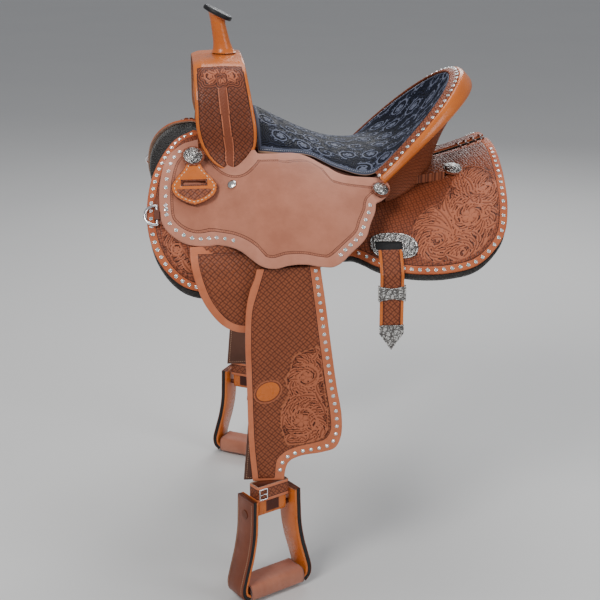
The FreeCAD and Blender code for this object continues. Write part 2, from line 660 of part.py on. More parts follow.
def fender_side():
    keep_pair("fender", side_prism(FENDER_OUTLINE, FENDER_Y[0], FENDER_Y[1]))

    half = LEATHER_W / 2.0
    top_z = LIFT_AXIS[1] - 4.5
    strap = [(leather_x(top_z) - half, top_z), (leather_x(top_z) + half, top_z),
             (leather_x(NECK_Z) + half, NECK_Z), (leather_x(NECK_Z) - half, NECK_Z)]
    strap = side_prism([[a, b] for a, b in zip(strap, strap[1:] + strap[:1])], LEATHER_Y[0], LEATHER_Y[1])
    posts = []
    for row in range(7):
        for side in (-1, 1):
            hole = rod((side * 22, -320, 60 - row * 30), (side * 22, -290, 60 - row * 30), 4.3)
            strap = strap.cut(lean(hole, -290))
    keep_pair("stirrup_leather", strap)

    reach = HANGER_W / 2.0
    hanger = box((SWING_AXIS[0] - reach, LEATHER_Y[0], LIFT_AXIS[1]), (SWING_AXIS[0] + reach, LEATHER_Y[1], -84))
    knuckle = rod((SWING_AXIS[0] - reach, LIFT_AXIS[0], LIFT_AXIS[1]),
                  (SWING_AXIS[0] + reach, LIFT_AXIS[0], LIFT_AXIS[1]), 3.0)
    keep_pair("leather_hanger", hanger.fuse(knuckle).removeSplitter())

    body = box((-40, LEATHER_Y[1] + 0.3, -50), (40, LEATHER_Y[1] + 2.8, -10))
    for side in (-1, 1):
        posts.append(rod((side * 22, LEATHER_Y[0] + 0.5, -30), (side * 22, LEATHER_Y[1] + 1, -30), 4.0))
    buckle = body.fuse(posts[0]).fuse(posts[1]).removeSplitter()
    keep_pair("leather_buckle", lean(buckle, -290))
    y_in = LEATHER_Y[1] + 2.8 + GAP
    channel = box((-43, LEATHER_Y[1] + 0.6, -56), (43, y_in + 1.5, -24))
    channel = channel.cut(box((-40.5, LEATHER_Y[1] - 1, -60), (40.5, y_in, -20)))
    lips = box((-43, LEATHER_Y[1] + 0.6, -56), (-40.5, y_in, -24))
    keep_pair("buckle_sleeve", lean(channel.fuse(lips).removeSplitter(), -290))


# ---------------------------------------------------------------- stirrup
def turned(shape):
    """Carry a piece from the stirrup's own frame (width on X, depth on Y) to its place."""
    copy = shape.copy()
    copy.rotate(Vector(0, 0, 0), Vector(0, 0, 1), TURN)
    copy.translate(Vector(STIRRUP_AT[0], STIRRUP_AT[1], 0))
    return copy


# half width of the bell at each height, outside face
BELL = ((52.0, -527.0), (53.0, -562.0), (55.0, -600.0), (62.0, -640.0), (73.0, -680.0), (79.0, -706.0),
        (76.0, -722.0), (66.0, -731.0))


def bell_solid(grow, top_z, depth):
    """Solid bell outline, larger by grow, open to nothing: used to cut shells."""
    side = [Vector(-(w + grow), -depth / 2.0, z) for w, z in BELL[:-1]]
    side[0].z = top_z
    side.append(Vector(-BELL[-1][0], -depth / 2.0, BELL[-1][1] - grow))
    other = [Vector(-p.x, p.y, p.z) for p in reversed(side)]
    wire = Part.Wire([run_edge(side), Part.makeLine(side[-1], other[0]), run_edge(other),
                      Part.makeLine(other[-1], side[0])])
    return Part.Face(wire).extrude(Vector(0, depth, 0))


def stirrup():
    depth = STIRRUP_DEPTH
    top = BELL[0][1]
    frame = bell_solid(0, top, depth).cut(bell_solid(-9.0, top + 1, depth + 2).cut(
        box((-90, -60, -760), (90, 60, BELL[-1][1] + 9))))
    hole = rod((-90, 0, BOLT_Z), (90, 0, BOLT_Z), BOLT_R + 0.05)
    keep_pair("stirrup_frame", turned(frame.cut(hole)))

    skin = bell_solid(3.0, top, depth + 3).cut(bell_solid(GAP, top + 1, depth + 8))
    recess = rod((-90, 0, BOLT_Z), (90, 0, BOLT_Z), 9.4)
    skin = skin.cut(recess).cut(box((-TREAD_HALF - GAP, -40, -760), (TREAD_HALF + GAP, 40, -700)))
    keep_pair("stirrup_cover", turned(skin))

    tread = box((-TREAD_HALF, -28.5, BELL[-1][1] - 4.5), (TREAD_HALF, 28.5, -703))
    tread = tread.makeFillet(7.0, [e for e in tread.Edges if abs(e.tangentAt(0).x) > 0.9])
    bar = box((-90, -depth / 2.0 - GAP, BELL[-1][1] - GAP), (90, depth / 2.0 + GAP, BELL[-1][1] + 9 + GAP))
    keep_pair("stirrup_tread", turned(tread.cut(bar)))

    bolt = rod((-56, 0, BOLT_Z), (56, 0, BOLT_Z), BOLT_R)
    for side in (-1, 1):
        bolt = bolt.fuse(rod((side * 53.6, 0, BOLT_Z), (side * 57.5, 0, BOLT_Z), 9.0))
    keep_pair("stirrup_bolt", turned(bolt.removeSplitter()))

    ply, inner = 5.0, BOLT_R + 1.0
    high = -507.0
    loop = rod((-31, 0, BOLT_Z), (31, 0, BOLT_Z), inner + ply)
    loop = loop.fuse(box((-31, -inner - ply, BOLT_Z), (31, inner + ply, high))).removeSplitter()
    gap = rod((-40, 0, BOLT_Z), (40, 0, BOLT_Z), inner).fuse(box((-40, -inner, BOLT_Z), (40, inner, high + 5)))
    keep_pair("stirrup_loop", turned(loop.cut(gap)))

    ring = box((-36.5, -15.5, -537), (36.5, 15.5, -505.5))
    hollow = box((-31.6, -11.6, -545), (31.6, 11.6, -500))
    ring = ring.makeFillet(5.0, [e for e in ring.Edges if abs(e.tangentAt(0).z) > 0.9])
    keep_pair("hobble_strap", turned(ring.cut(hollow)))


# ---------------------------------------------------------------- build
def main():
    skirts()
    tree_bars()
    fork_and_covers()
    horn()
    cantle()
    seat()
    keep_pair("seat_jockey", jockeys())
    rigging()
    conchos()
    screws()
    latigo_keeper()
    dee()
    flank()
    fender_side()
    stirrup()
    os.makedirs("parts", exist_ok=True)
    for name, shape in sorted(NODES.items()):
        shape.exportStep("parts/" + name + ".step")
        bounds = shape.optimalBoundingBox()
        print("%-24s solids %d valid %s vol %9.0f  x %7.1f %7.1f  y %7.1f %7.1f  z %7.1f %7.1f" % (
            name, len(shape.Solids), shape.isValid(), shape.Volume, bounds.XMin, bounds.XMax,
            bounds.YMin, bounds.YMax, bounds.ZMin, bounds.ZMax))
    print(len(NODES), "nodes")


main()
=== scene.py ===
"""Looks of the western saddle: leather, wool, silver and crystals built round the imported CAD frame.

Lengths are millimetres in the CAD frame (+X rear, -Y rider's left, +Z up) until a mesh is made.
Every left piece is built once and mirrored across y = 0 for the right side.
"""
import math
import bpy
import numpy as np
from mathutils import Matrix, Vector, geometry


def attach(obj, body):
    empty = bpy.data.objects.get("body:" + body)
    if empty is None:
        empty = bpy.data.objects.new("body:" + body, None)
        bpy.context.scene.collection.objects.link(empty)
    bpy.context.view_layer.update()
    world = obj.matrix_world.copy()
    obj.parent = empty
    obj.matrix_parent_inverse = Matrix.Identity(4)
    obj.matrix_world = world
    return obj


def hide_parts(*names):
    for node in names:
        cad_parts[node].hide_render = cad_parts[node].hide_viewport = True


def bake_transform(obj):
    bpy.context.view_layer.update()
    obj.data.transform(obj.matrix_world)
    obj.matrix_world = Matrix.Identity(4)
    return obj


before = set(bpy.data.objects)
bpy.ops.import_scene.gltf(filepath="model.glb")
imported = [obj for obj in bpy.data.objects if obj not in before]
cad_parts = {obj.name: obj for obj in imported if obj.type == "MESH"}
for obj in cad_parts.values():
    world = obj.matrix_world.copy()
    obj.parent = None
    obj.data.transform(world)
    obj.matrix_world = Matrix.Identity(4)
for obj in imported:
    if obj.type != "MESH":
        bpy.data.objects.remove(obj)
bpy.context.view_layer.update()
MM = 0.001


# ---------------------------------------------------------------- curves in a plane
def run_of(line):
    """Distance along a line at each of its points."""
    return np.concatenate([[0], np.cumsum(np.linalg.norm(np.diff(line, axis=0), axis=1))])


def around(count):
    """Equal angles once round."""
    return np.arange(count) * 2 * math.pi / count


def ccw(loop):
    """The loop in counter-clockwise order."""
    area = np.sum(loop[:, 0] * np.roll(loop[:, 1], -1) - loop[:, 1] * np.roll(loop[:, 0], -1))
    return loop if area > 0 else loop[::-1]


def spline(points, step=2.0, closed=False):
    """Smooth curve through the points, sampled about every step."""
    p = np.array(points, float)
    if len(p) == 2 and not closed:
        count = max(int(np.linalg.norm(p[1] - p[0]) / step), 1)
        return p[0] + (p[1] - p[0]) * np.linspace(0, 1, count + 1)[:, None]
    open_ends = [2 * p[0] - p[1], p, 2 * p[-1] - p[-2]]
    ring = np.vstack([p[-1:], p, p[:2]] if closed else open_ends)
    out = []
    for a, b, c, d in zip(ring, ring[1:], ring[2:], ring[3:]):
        t1 = max(np.linalg.norm(b - a) ** 0.5, 1e-6)
        t2 = max(np.linalg.norm(c - b) ** 0.5, 1e-6)
        t3 = max(np.linalg.norm(d - c) ** 0.5, 1e-6)
        m1 = (c - b) / t2 - (c - a) / (t1 + t2) + (b - a) / t1
        m2 = (d - c) / t3 - (d - b) / (t2 + t3) + (c - b) / t2
        t = np.linspace(0, 1, max(int(np.linalg.norm(c - b) / step), 1) + 1)[:-1, None]
        out.append((2 * t ** 3 - 3 * t ** 2 + 1) * b + (t ** 3 - 2 * t ** 2 + t) * m1 * t2
                   + (3 * t ** 2 - 2 * t ** 3) * c + (t ** 3 - t ** 2) * m2 * t2)
    if not closed:
        out.append(p[-1:])
    return np.vstack(out)


def even(points, step, closed=True):
    """The same line with evenly spaced points."""
    p = np.vstack([points, points[:1]]) if closed else np.array(points, float)
    run = run_of(p)
    count = max(int(round(run[-1] / step)), 3)
    at = np.linspace(0, run[-1], count + 1)
    if closed:
        at = at[:-1]
    return np.stack([np.interp(at, run, p[:, k]) for k in range(p.shape[1])], 1)


def outline(runs, step=2.0):
    """Closed loop from runs that meet end to end, counter-clockwise, evenly spaced."""
    loop = np.vstack([spline(run, step)[:-1] for run in runs])
    return even(ccw(loop), step)


def to_line(points, line, closed=True):
    """Distance of every point to the line."""
    a = line if closed else line[:-1]
    b = np.roll(line, -1, 0) if closed else line[1:]
    best = np.full(len(points), 1e9)
    for start in range(0, len(points), 4000):
        q = points[start:start + 4000, None, :]
        d = b - a
        t = np.clip(np.sum((q - a) * d, 2) / np.maximum(np.sum(d * d, 1), 1e-9), 0, 1)
        best[start:start + 4000] = np.sqrt(np.min(np.sum((q - a - t[..., None] * d) ** 2, 2), 1))
    return best


def inside(points, loop):
    """Which points the loop goes round."""
    x, y = points[:, 0][:, None], points[:, 1][:, None]
    x0, y0 = loop[:, 0], loop[:, 1]
    x1, y1 = np.roll(x0, -1), np.roll(y0, -1)
    result = np.zeros(len(points), bool)
    for start in range(0, len(points), 4000):
        s = slice(start, start + 4000)
        cross = (y0 > y[s]) != (y1 > y[s])
        span = np.where(y1 == y0, 1e-9, y1 - y0)
        result[s] = np.sum(cross & (x[s] < (x1 - x0) * (y[s] - y0) / span + x0), 1) % 2 == 1
    return result


def inset(loop, distance):
    """A counter-clockwise loop moved inward, without the stretches that fold over."""
    tangent = np.roll(loop, -1, 0) - np.roll(loop, 1, 0)
    normal = np.stack([-tangent[:, 1], tangent[:, 0]], 1) / np.linalg.norm(tangent, axis=1)[:, None]
    far = np.broadcast_to(np.asarray(distance, float), (len(loop),))
    moved = loop + normal * far[:, None]
    keep = (to_line(moved, loop) > 0.93 * far) & inside(moved, loop)
    return moved[keep]


# ---------------------------------------------------------------- surfaces: (u, v) to points and normals
BACK_RADIUS, SKIRT_TOP, JOCKEY = 330.0, 17.3, 4.5


def back_centre(x):
    u = np.clip(-np.asarray(x, float) / 230.0, 0, 1)
    rise = u * u * (3 - 2 * u)
    return 45.0 * rise, -BACK_RADIUS + np.maximum(x, 0) ** 2 / 2000.0 + 122.0 * rise


class OnBack:
    """The horse's back plus an offset: u is x, v the distance round it from straight up."""

    def __init__(self, offset):
        self.r = BACK_RADIUS + offset

    def flat(self, points):
        """(x, z) of the side view to (u, v)."""
        x, z = np.asarray(points, float).T
        return np.stack([x, self.r * np.arccos(np.clip((z - back_centre(x)[1]) / self.r, -1, 1))], 1)

    def from_y(self, x, y):
        yc, _ = back_centre(x)
        return np.stack([x, self.r * np.arcsin((yc - y) / self.r)], 1)

    def __call__(self, uv):
        x, a = uv[:, 0], uv[:, 1] / self.r
        yc, zc = back_centre(x)
        n = np.stack([0 * x, -np.sin(a), np.cos(a)], 1)
        return np.stack([x, yc, zc], 1) + n * self.r, n


JOCKEY_STATIONS = ((-108, (-118, 106), (-322, -92), 38), (-60, (-112, 104), (-326, -92), 40),
                   (40, (-130, 64), (-326, -92), 34), (140, (-160, 48), (-298, -92), 14),
                   (170, (-160, 50), (-290, -92), 14))
JOCKEY_SEAM = -178.0


class OnJockey:
    """Inner face of the seat jockey: u is x, v its angle times a usual radius."""
    scale = 300.0

    def __init__(self):
        yc, zc = back_centre(JOCKEY_SEAM)
        rows = [(JOCKEY_SEAM, float(yc), float(zc), BACK_RADIUS + SKIRT_TOP + 0.9)]
        for x, top, low, bulge in JOCKEY_STATIONS:
            dy, dz = low[0] - top[0], low[1] - top[1]
            chord = math.hypot(dy, dz)
            r = (chord ** 2 / 4 + bulge ** 2) / (2 * bulge)
            rows.append((x, (top[0] + low[0]) / 2 + dz / chord * (bulge - r),
                         (top[1] + low[1]) / 2 - dy / chord * (bulge - r), r))
        self.rows = np.array(rows)

    def arc(self, x):
        yc, zc, r = [np.interp(x, self.rows[:, 0], self.rows[:, k]) for k in (1, 2, 3)]
        y_front, z_front = back_centre(x)
        front = x < JOCKEY_SEAM
        return np.where(front, y_front, yc), np.where(front, z_front, zc), r

    def flat(self, points):
        x, z = np.asarray(points, float).T
        _, zc, r = self.arc(x)
        return np.stack([x, self.scale * np.arccos(np.clip((z - zc) / r, -1, 1))], 1)

    def __call__(self, uv):
        x, a = uv[:, 0], uv[:, 1] / self.scale
        yc, zc, r = self.arc(x)
        n = np.stack([0 * x, -np.sin(a), np.cos(a)], 1)
        return np.stack([x, yc, zc], 1) + n * r[:, None], n


class OnProfile:
    """A strap's inner face: u is x, v the distance down a smooth (y, z) line."""

    def __init__(self, profile):
        self.line = even(spline(profile, 1.0), 1.0, closed=False)
        self.run = run_of(self.line)

    def flat(self, points):
        x, z = np.asarray(points, float).T
        return np.stack([x, np.interp(-z, -self.line[:, 1], self.run)], 1)

    def __call__(self, uv):
        y = np.interp(uv[:, 1], self.run, self.line[:, 0])
        z = np.interp(uv[:, 1], self.run, self.line[:, 1])
        y2 = np.interp(uv[:, 1] + 1, self.run, self.line[:, 0])
        z2 = np.interp(uv[:, 1] + 1, self.run, self.line[:, 1])
        dy, dz = np.where(y2 == y, 0, y2 - y), np.where(z2 == z, -1e-3, z2 - z)
        n = np.stack([0 * y, dz, -dy], 1)
        return np.stack([uv[:, 0], y, z], 1), n / np.linalg.norm(n, axis=1)[:, None]


class OnPlane:
    """A flat face: u along one direction, v along another, from an origin."""

    def __init__(self, origin, along_u, along_v, normal):
        self.origin, self.u, self.v, self.n = [np.array(k, float) for k in (origin, along_u, along_v, normal)]

    def __call__(self, uv):
        p = self.origin + uv[:, :1] * self.u + uv[:, 1:] * self.v
        return p, np.broadcast_to(self.n, p.shape)


# ---------------------------------------------------------------- pieces
class Piece:
    """Gathers mesh parts in millimetres, then makes the object or a left and right pair."""

    def __init__(self):
        self.mats = []
        self.v, self.f, self.m, self.s, self.uv, self.c = [], [], [], [], [], []
        self.count = 0

    def add(self, verts, faces, mat, smooth=True, uv=None, carve=1.0):
        verts = np.asarray(verts, float)
        self.v.append(verts)
        self.uv.append(np.asarray(uv, float) if uv is not None else verts[:, [0, 2]])
        self.c.append(np.broadcast_to(np.asarray(carve, float), (len(verts),)))
        names = [mat] * len(faces) if isinstance(mat, str) else list(mat)
        self.mats += sorted(set(names) - set(self.mats))
        self.f += [[i + self.count for i in face] for face in faces]
        self.m += [self.mats.index(m) for m in names]
        self.s += [smooth] * len(faces)
        self.count += len(verts)
        return self

    def make(self, name, body, replaces=(), mirror=False):
        verts = np.vstack(self.v) * MM
        faces = self.f
        if mirror:
            verts = verts * np.array([1, -1, 1])
            faces = [f[::-1] for f in faces]
        mesh = bpy.data.meshes.new(name)
        mesh.from_pydata(verts.tolist(), [], faces)
        for mat in self.mats:
            mesh.materials.append(MATERIALS[mat])
        mesh.polygons.foreach_set("material_index", self.m)
        mesh.polygons.foreach_set("use_smooth", self.s)
        uv = np.vstack(self.uv) * MM
        loops = np.zeros(len(mesh.loops), int)
        mesh.loops.foreach_get("vertex_index", loops)
        layer = mesh.uv_layers.new(name="flat")
        layer.data.foreach_set("uv", uv[loops].ravel())
        carve = mesh.attributes.new("carve", "FLOAT", "POINT")
        carve.data.foreach_set("value", np.concatenate(self.c).astype(np.float32))
        mesh.update()
        obj = bpy.data.objects.new(name, mesh)
        bpy.context.collection.objects.link(obj)
        if body:
            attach(obj, body)
        if replaces:
            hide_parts(*replaces)
        return obj

    def pair(self, stem, body="root", replaces=()):
        """Left and right objects; a '*' in a name stands for the side."""
        made = []
        for side, flip in (("left", False), ("right", True)):
            own = [r.replace("*", side) for r in replaces]
            made.append(self.make(stem + "_" + side, body.replace("*", side), own, flip))
        return made


def triangles(points, loops):
    """Delaunay triangles of the points, with the loops kept as edges."""
    coords = [Vector(p) for loop in loops for p in loop] + [Vector(p) for p in points]
    edges, start = [], 0
    for loop in loops:
        edges += [(start + i, start + (i + 1) % len(loop)) for i in range(len(loop))]
        start += len(loop)
    verts, _, faces, _, _, _ = geometry.delaunay_2d_cdt(coords, edges, [], 0, 1e-5)
    return np.array([tuple(v) for v in verts]), np.array([tuple(f) for f in faces])


def staggered(loop, step):
    """Points in offset rows over the box that holds the loop."""
    low, high = loop.min(0), loop.max(0)
    x, y = np.meshgrid(np.arange(low[0], high[0], step), np.arange(low[1], high[1], step * 0.87))
    x[::2] += step / 2
    return np.stack([x.ravel(), y.ravel()], 1)


def sheet(piece, loop, surface, thick, zone, back, rim, lines=(), holes=(), spacing=4.0, fine=None,
          relief=None, edge=1.1):
    """A piece of leather or metal plate cut to the loop, lying on the surface.

    zone(points, distance) names each top face's material; fine is (inside test, spacing) for
    a carved area; relief(points, distance) gives heights and how deeply carved each point is.
    """
    rings = [loop, inset(loop, edge * 0.35), inset(loop, edge)] + list(lines)
    rings = [r for r in rings + list(holes) if len(r) > 3]
    grid = staggered(loop, spacing)
    if fine:
        test, step = fine
        dense = staggered(loop, step)
        grid = np.vstack([grid[~test(grid)], dense[test(dense)]])
    grid = grid[inside(grid, loop)]
    near = np.min([to_line(grid, r) for r in rings], 0)
    grid = grid[near > 0.9]
    verts, tris = triangles(grid, rings)
    middle = verts[tris].mean(1)
    good = inside(middle, loop)
    for hole in holes:
        good &= ~inside(middle, hole)
    tris = tris[good]
    used = np.unique(tris)
    new = np.full(len(verts), -1)
    new[used] = np.arange(len(used))
    verts, tris = verts[used], new[tris]
    point, normal = surface(verts)
    corner, second, third = [point[tris[:, k]] for k in range(3)]
    facing = np.sum(np.cross(second - corner, third - corner) * normal[tris[:, 0]], 1)
    tris = np.where(facing[:, None] > 0, tris, tris[:, ::-1])
    distance = to_line(verts, loop)
    for hole in holes:
        distance = np.minimum(distance, to_line(verts, hole))
    drop = edge * (1 - np.sqrt(np.clip(1 - (1 - np.minimum(distance, edge) / edge) ** 2, 0, 1)))
    height, carve = relief(verts, distance) if relief else (0 * distance, 1.0 + 0 * distance)
    top = point + normal * (thick - drop + height)[:, None]
    low_side = point + normal * (drop * 0.6)[:, None]
    edges = {}
    for i, j, k in tris.tolist():
        for e in ((i, j), (j, k), (k, i)):
            edges[e] = True
    rim_edges = [e for e in edges if (e[1], e[0]) not in edges]
    middle = verts[tris].mean(1)
    n = len(verts)
    faces = tris.tolist() + (tris[:, ::-1] + n).tolist() + [[j, i, i + n, j + n] for i, j in rim_edges]
    mats = list(zone(middle, distance[tris].mean(1))) + [back] * len(tris) + [rim] * len(rim_edges)
    piece.add(np.vstack([top, low_side]), faces, mats, uv=np.vstack([verts, verts]),
              carve=np.concatenate([carve, np.ones(n)]))
    return piece


def one(name):
    """A zone that is one material all over."""
    return lambda p, d: [name] * len(p)


def ring_faces(rows, seg):
    """Faces between rows of points that go round, seg to a row."""
    return [[r * seg + k, r * seg + (k + 1) % seg, (r + 1) * seg + (k + 1) % seg, (r + 1) * seg + k]
            for r in range(rows - 1) for k in range(seg)]


def line_points(line, step, closed=False, start=0.0):
    """Evenly spaced points and directions along part of a line."""
    p = np.vstack([line, line[:1]]) if closed else line
    run = run_of(p)
    at = np.arange(start, run[-1], step)
    spots = np.stack([np.interp(at, run, p[:, k]) for k in range(2)], 1)
    ahead = np.stack([np.interp(at + 0.5, run, p[:, k]) for k in range(2)], 1)
    return spots, ahead


def stitches(piece, spots, ahead, surface, lift, mat="thread", length=2.7, width=0.55):
    """Short raised stitches that follow a line."""
    p, n = surface(spots)
    q, _ = surface(ahead)
    t = q - p
    t /= np.linalg.norm(t, axis=1)[:, None] + 1e-9
    side = np.cross(n, t)
    rings = ((-0.5, 0.15, -0.3), (-0.36, 0.8, 0.15), (0.0, 1.0, 0.45), (0.36, 0.8, 0.15), (0.5, 0.15, -0.3))
    corners = [(math.cos(a), math.sin(a)) for a in around(6)]
    faces = ring_faces(5, 6) + [[5, 4, 3, 2, 1, 0], [24, 25, 26, 27, 28, 29]]
    verts, all_faces = [], []
    for i in range(len(p)):
        base = p[i] + n[i] * lift
        for along, fat, up in rings:
            for cy, cz in corners:
                verts.append(base + t[i] * along * length + side[i] * cy * width * fat
                             + n[i] * (cz * width * fat * 0.8 + up * width))
        all_faces += [[k + 30 * i for k in face] for face in faces]
    if verts:
        piece.add(np.array(verts), all_faces, mat)


def crystals(piece, spots, surface, lift, radius=2.0, setting="bright_silver"):
    """Faceted stones in silver settings."""
    p, n = surface(spots)
    rows = ((1.5, -0.15), (1.5, 0.2), (1.3, 0.42), (1.05, 0.3), (0.98, 0.15))
    stone = ((0.98, 0.15), (0.9, 0.5), (0.5, 0.85))
    seg = 10
    for i in range(len(p)):
        side = np.cross(n[i], [1.0, 0, 0] if abs(n[i][0]) < 0.9 else [0, 1.0, 0])
        side /= np.linalg.norm(side)
        other = np.cross(n[i], side)
        base = p[i] + n[i] * lift
        for profile, mat, smooth in ((rows, setting, True), (stone, "crystal", False)):
            verts = [base + (side * math.cos(a) + other * math.sin(a)) * r * radius + n[i] * h * radius
                     for r, h in profile for a in around(seg)]
            faces = ring_faces(len(profile), seg)
            if not smooth:
                faces.append([(len(profile) - 1) * seg + k for k in range(seg)])
            piece.add(np.array(verts), faces, mat, smooth)


def grid_faces(nu, nv, close_u=False, close_v=False):
    """Faces of a grid of nu by nv points, joined up at the ends where it closes."""
    faces = []
    for i in range(nu if close_u else nu - 1):
        for j in range(nv if close_v else nv - 1):
            a, b = i, (i + 1) % nu
            c, d = j, (j + 1) % nv
            faces.append([a * nv + c, b * nv + c, b * nv + d, a * nv + d])
    return faces


def slab(piece, top, low, names, under_mat, side_mat, uv, carve, flip=False):
    """A grid of points and the grid below it, closed round the edge."""
    rows, cols = top.shape[:2]
    count = rows * cols
    faces = grid_faces(rows, cols)
    if flip:
        faces = [f[::-1] for f in faces]
    under = [[i + count for i in f[::-1]] for f in faces]
    ring = [i * cols for i in range(rows)] + [(rows - 1) * cols + j for j in range(1, cols)]
    ring += [i * cols + cols - 1 for i in range(rows - 2, -1, -1)] + list(range(cols - 2, 0, -1))
    sides = [[a, b, b + count, a + count] for a, b in zip(ring, ring[1:] + ring[:1])]
    if not flip:
        sides = [f[::-1] for f in sides]
    piece.add(np.vstack([top.reshape(-1, 3), low.reshape(-1, 3)]), faces + under + sides,
              names + [under_mat] * len(under) + [side_mat] * len(sides), uv=np.vstack([uv, uv]), carve=carve)


def tube(piece, sections, mat, caps=True):
    """Closed sections (n, m, 3) joined into a tube with capped ends, faces outward."""
    sections = np.asarray(sections, float)
    n, m, _ = sections.shape
    centre = sections.mean(1)
    first = sections[0]
    area = sum(np.cross(first[k] - centre[0], first[(k + 1) % m] - centre[0]) for k in range(m))
    if np.dot(area, centre[-1] - centre[0] + 1e-9) < 0:
        sections = sections[:, ::-1]
    faces = [[i * m + (j + 1) % m, (i + 1) * m + (j + 1) % m, (i + 1) * m + j, i * m + j][::-1]
             for i in range(n - 1) for j in range(m)]
    if caps:
        faces += [list(range(m))[::-1], [(n - 1) * m + k for k in range(m)]]
    uv = np.stack([np.repeat(run_of(centre), m), np.tile(run_of(sections[n // 2]), n)], 1)
    piece.add(sections.reshape(-1, 3), faces, mat, uv=uv)


def disc(piece, centre, normal, profile, mat, height=None, seg=96, scallop=None, carve=None):
    """A round piece from (radius, height) steps; height(r, angle) adds relief, scallop(angle) the rim."""
    n = np.array(normal, float) / np.linalg.norm(normal)
    side = np.cross(n, [1.0, 0, 0])
    side /= np.linalg.norm(side)
    other = np.cross(n, side)
    angles = around(seg)
    verts, deep = [], []
    outer = profile[0][0]
    for r, h in profile:
        for a in angles:
            rr = r * (1 + (scallop(a) if scallop else 0) * (r / outer) ** 3)
            extra = height(r / outer, a) if height else 0.0
            verts.append(np.array(centre) + (side * math.cos(a) + other * math.sin(a)) * rr + n * (h + extra))
            deep.append(1.0 if carve is None else carve(r / outer, a))
    rows = len(profile)
    faces = ring_faces(rows, seg)
    faces.append([(rows - 1) * seg + k for k in range(seg)])
    faces.append(list(range(seg))[::-1])
    piece.add(np.array(verts), faces, mat, carve=np.array(deep))


# ---------------------------------------------------------------- carving
def along(points, line):
    """Distance of every point to an open line and how far along it (0..1)."""
    a, d = line[:-1], np.diff(line, axis=0)
    length = np.linalg.norm(d, axis=1)
    run = run_of(line)
    q = points[:, None, :]
    t = np.clip(np.sum((q - a) * d, 2) / np.maximum(length ** 2, 1e-9), 0, 1)
    gap = np.sum((q - a - t[..., None] * d) ** 2, 2)
    k = np.argmin(gap, 1)
    rows = np.arange(len(points))
    return np.sqrt(gap[rows, k]), (run[k] + t[rows, k] * length[k]) / run[-1]


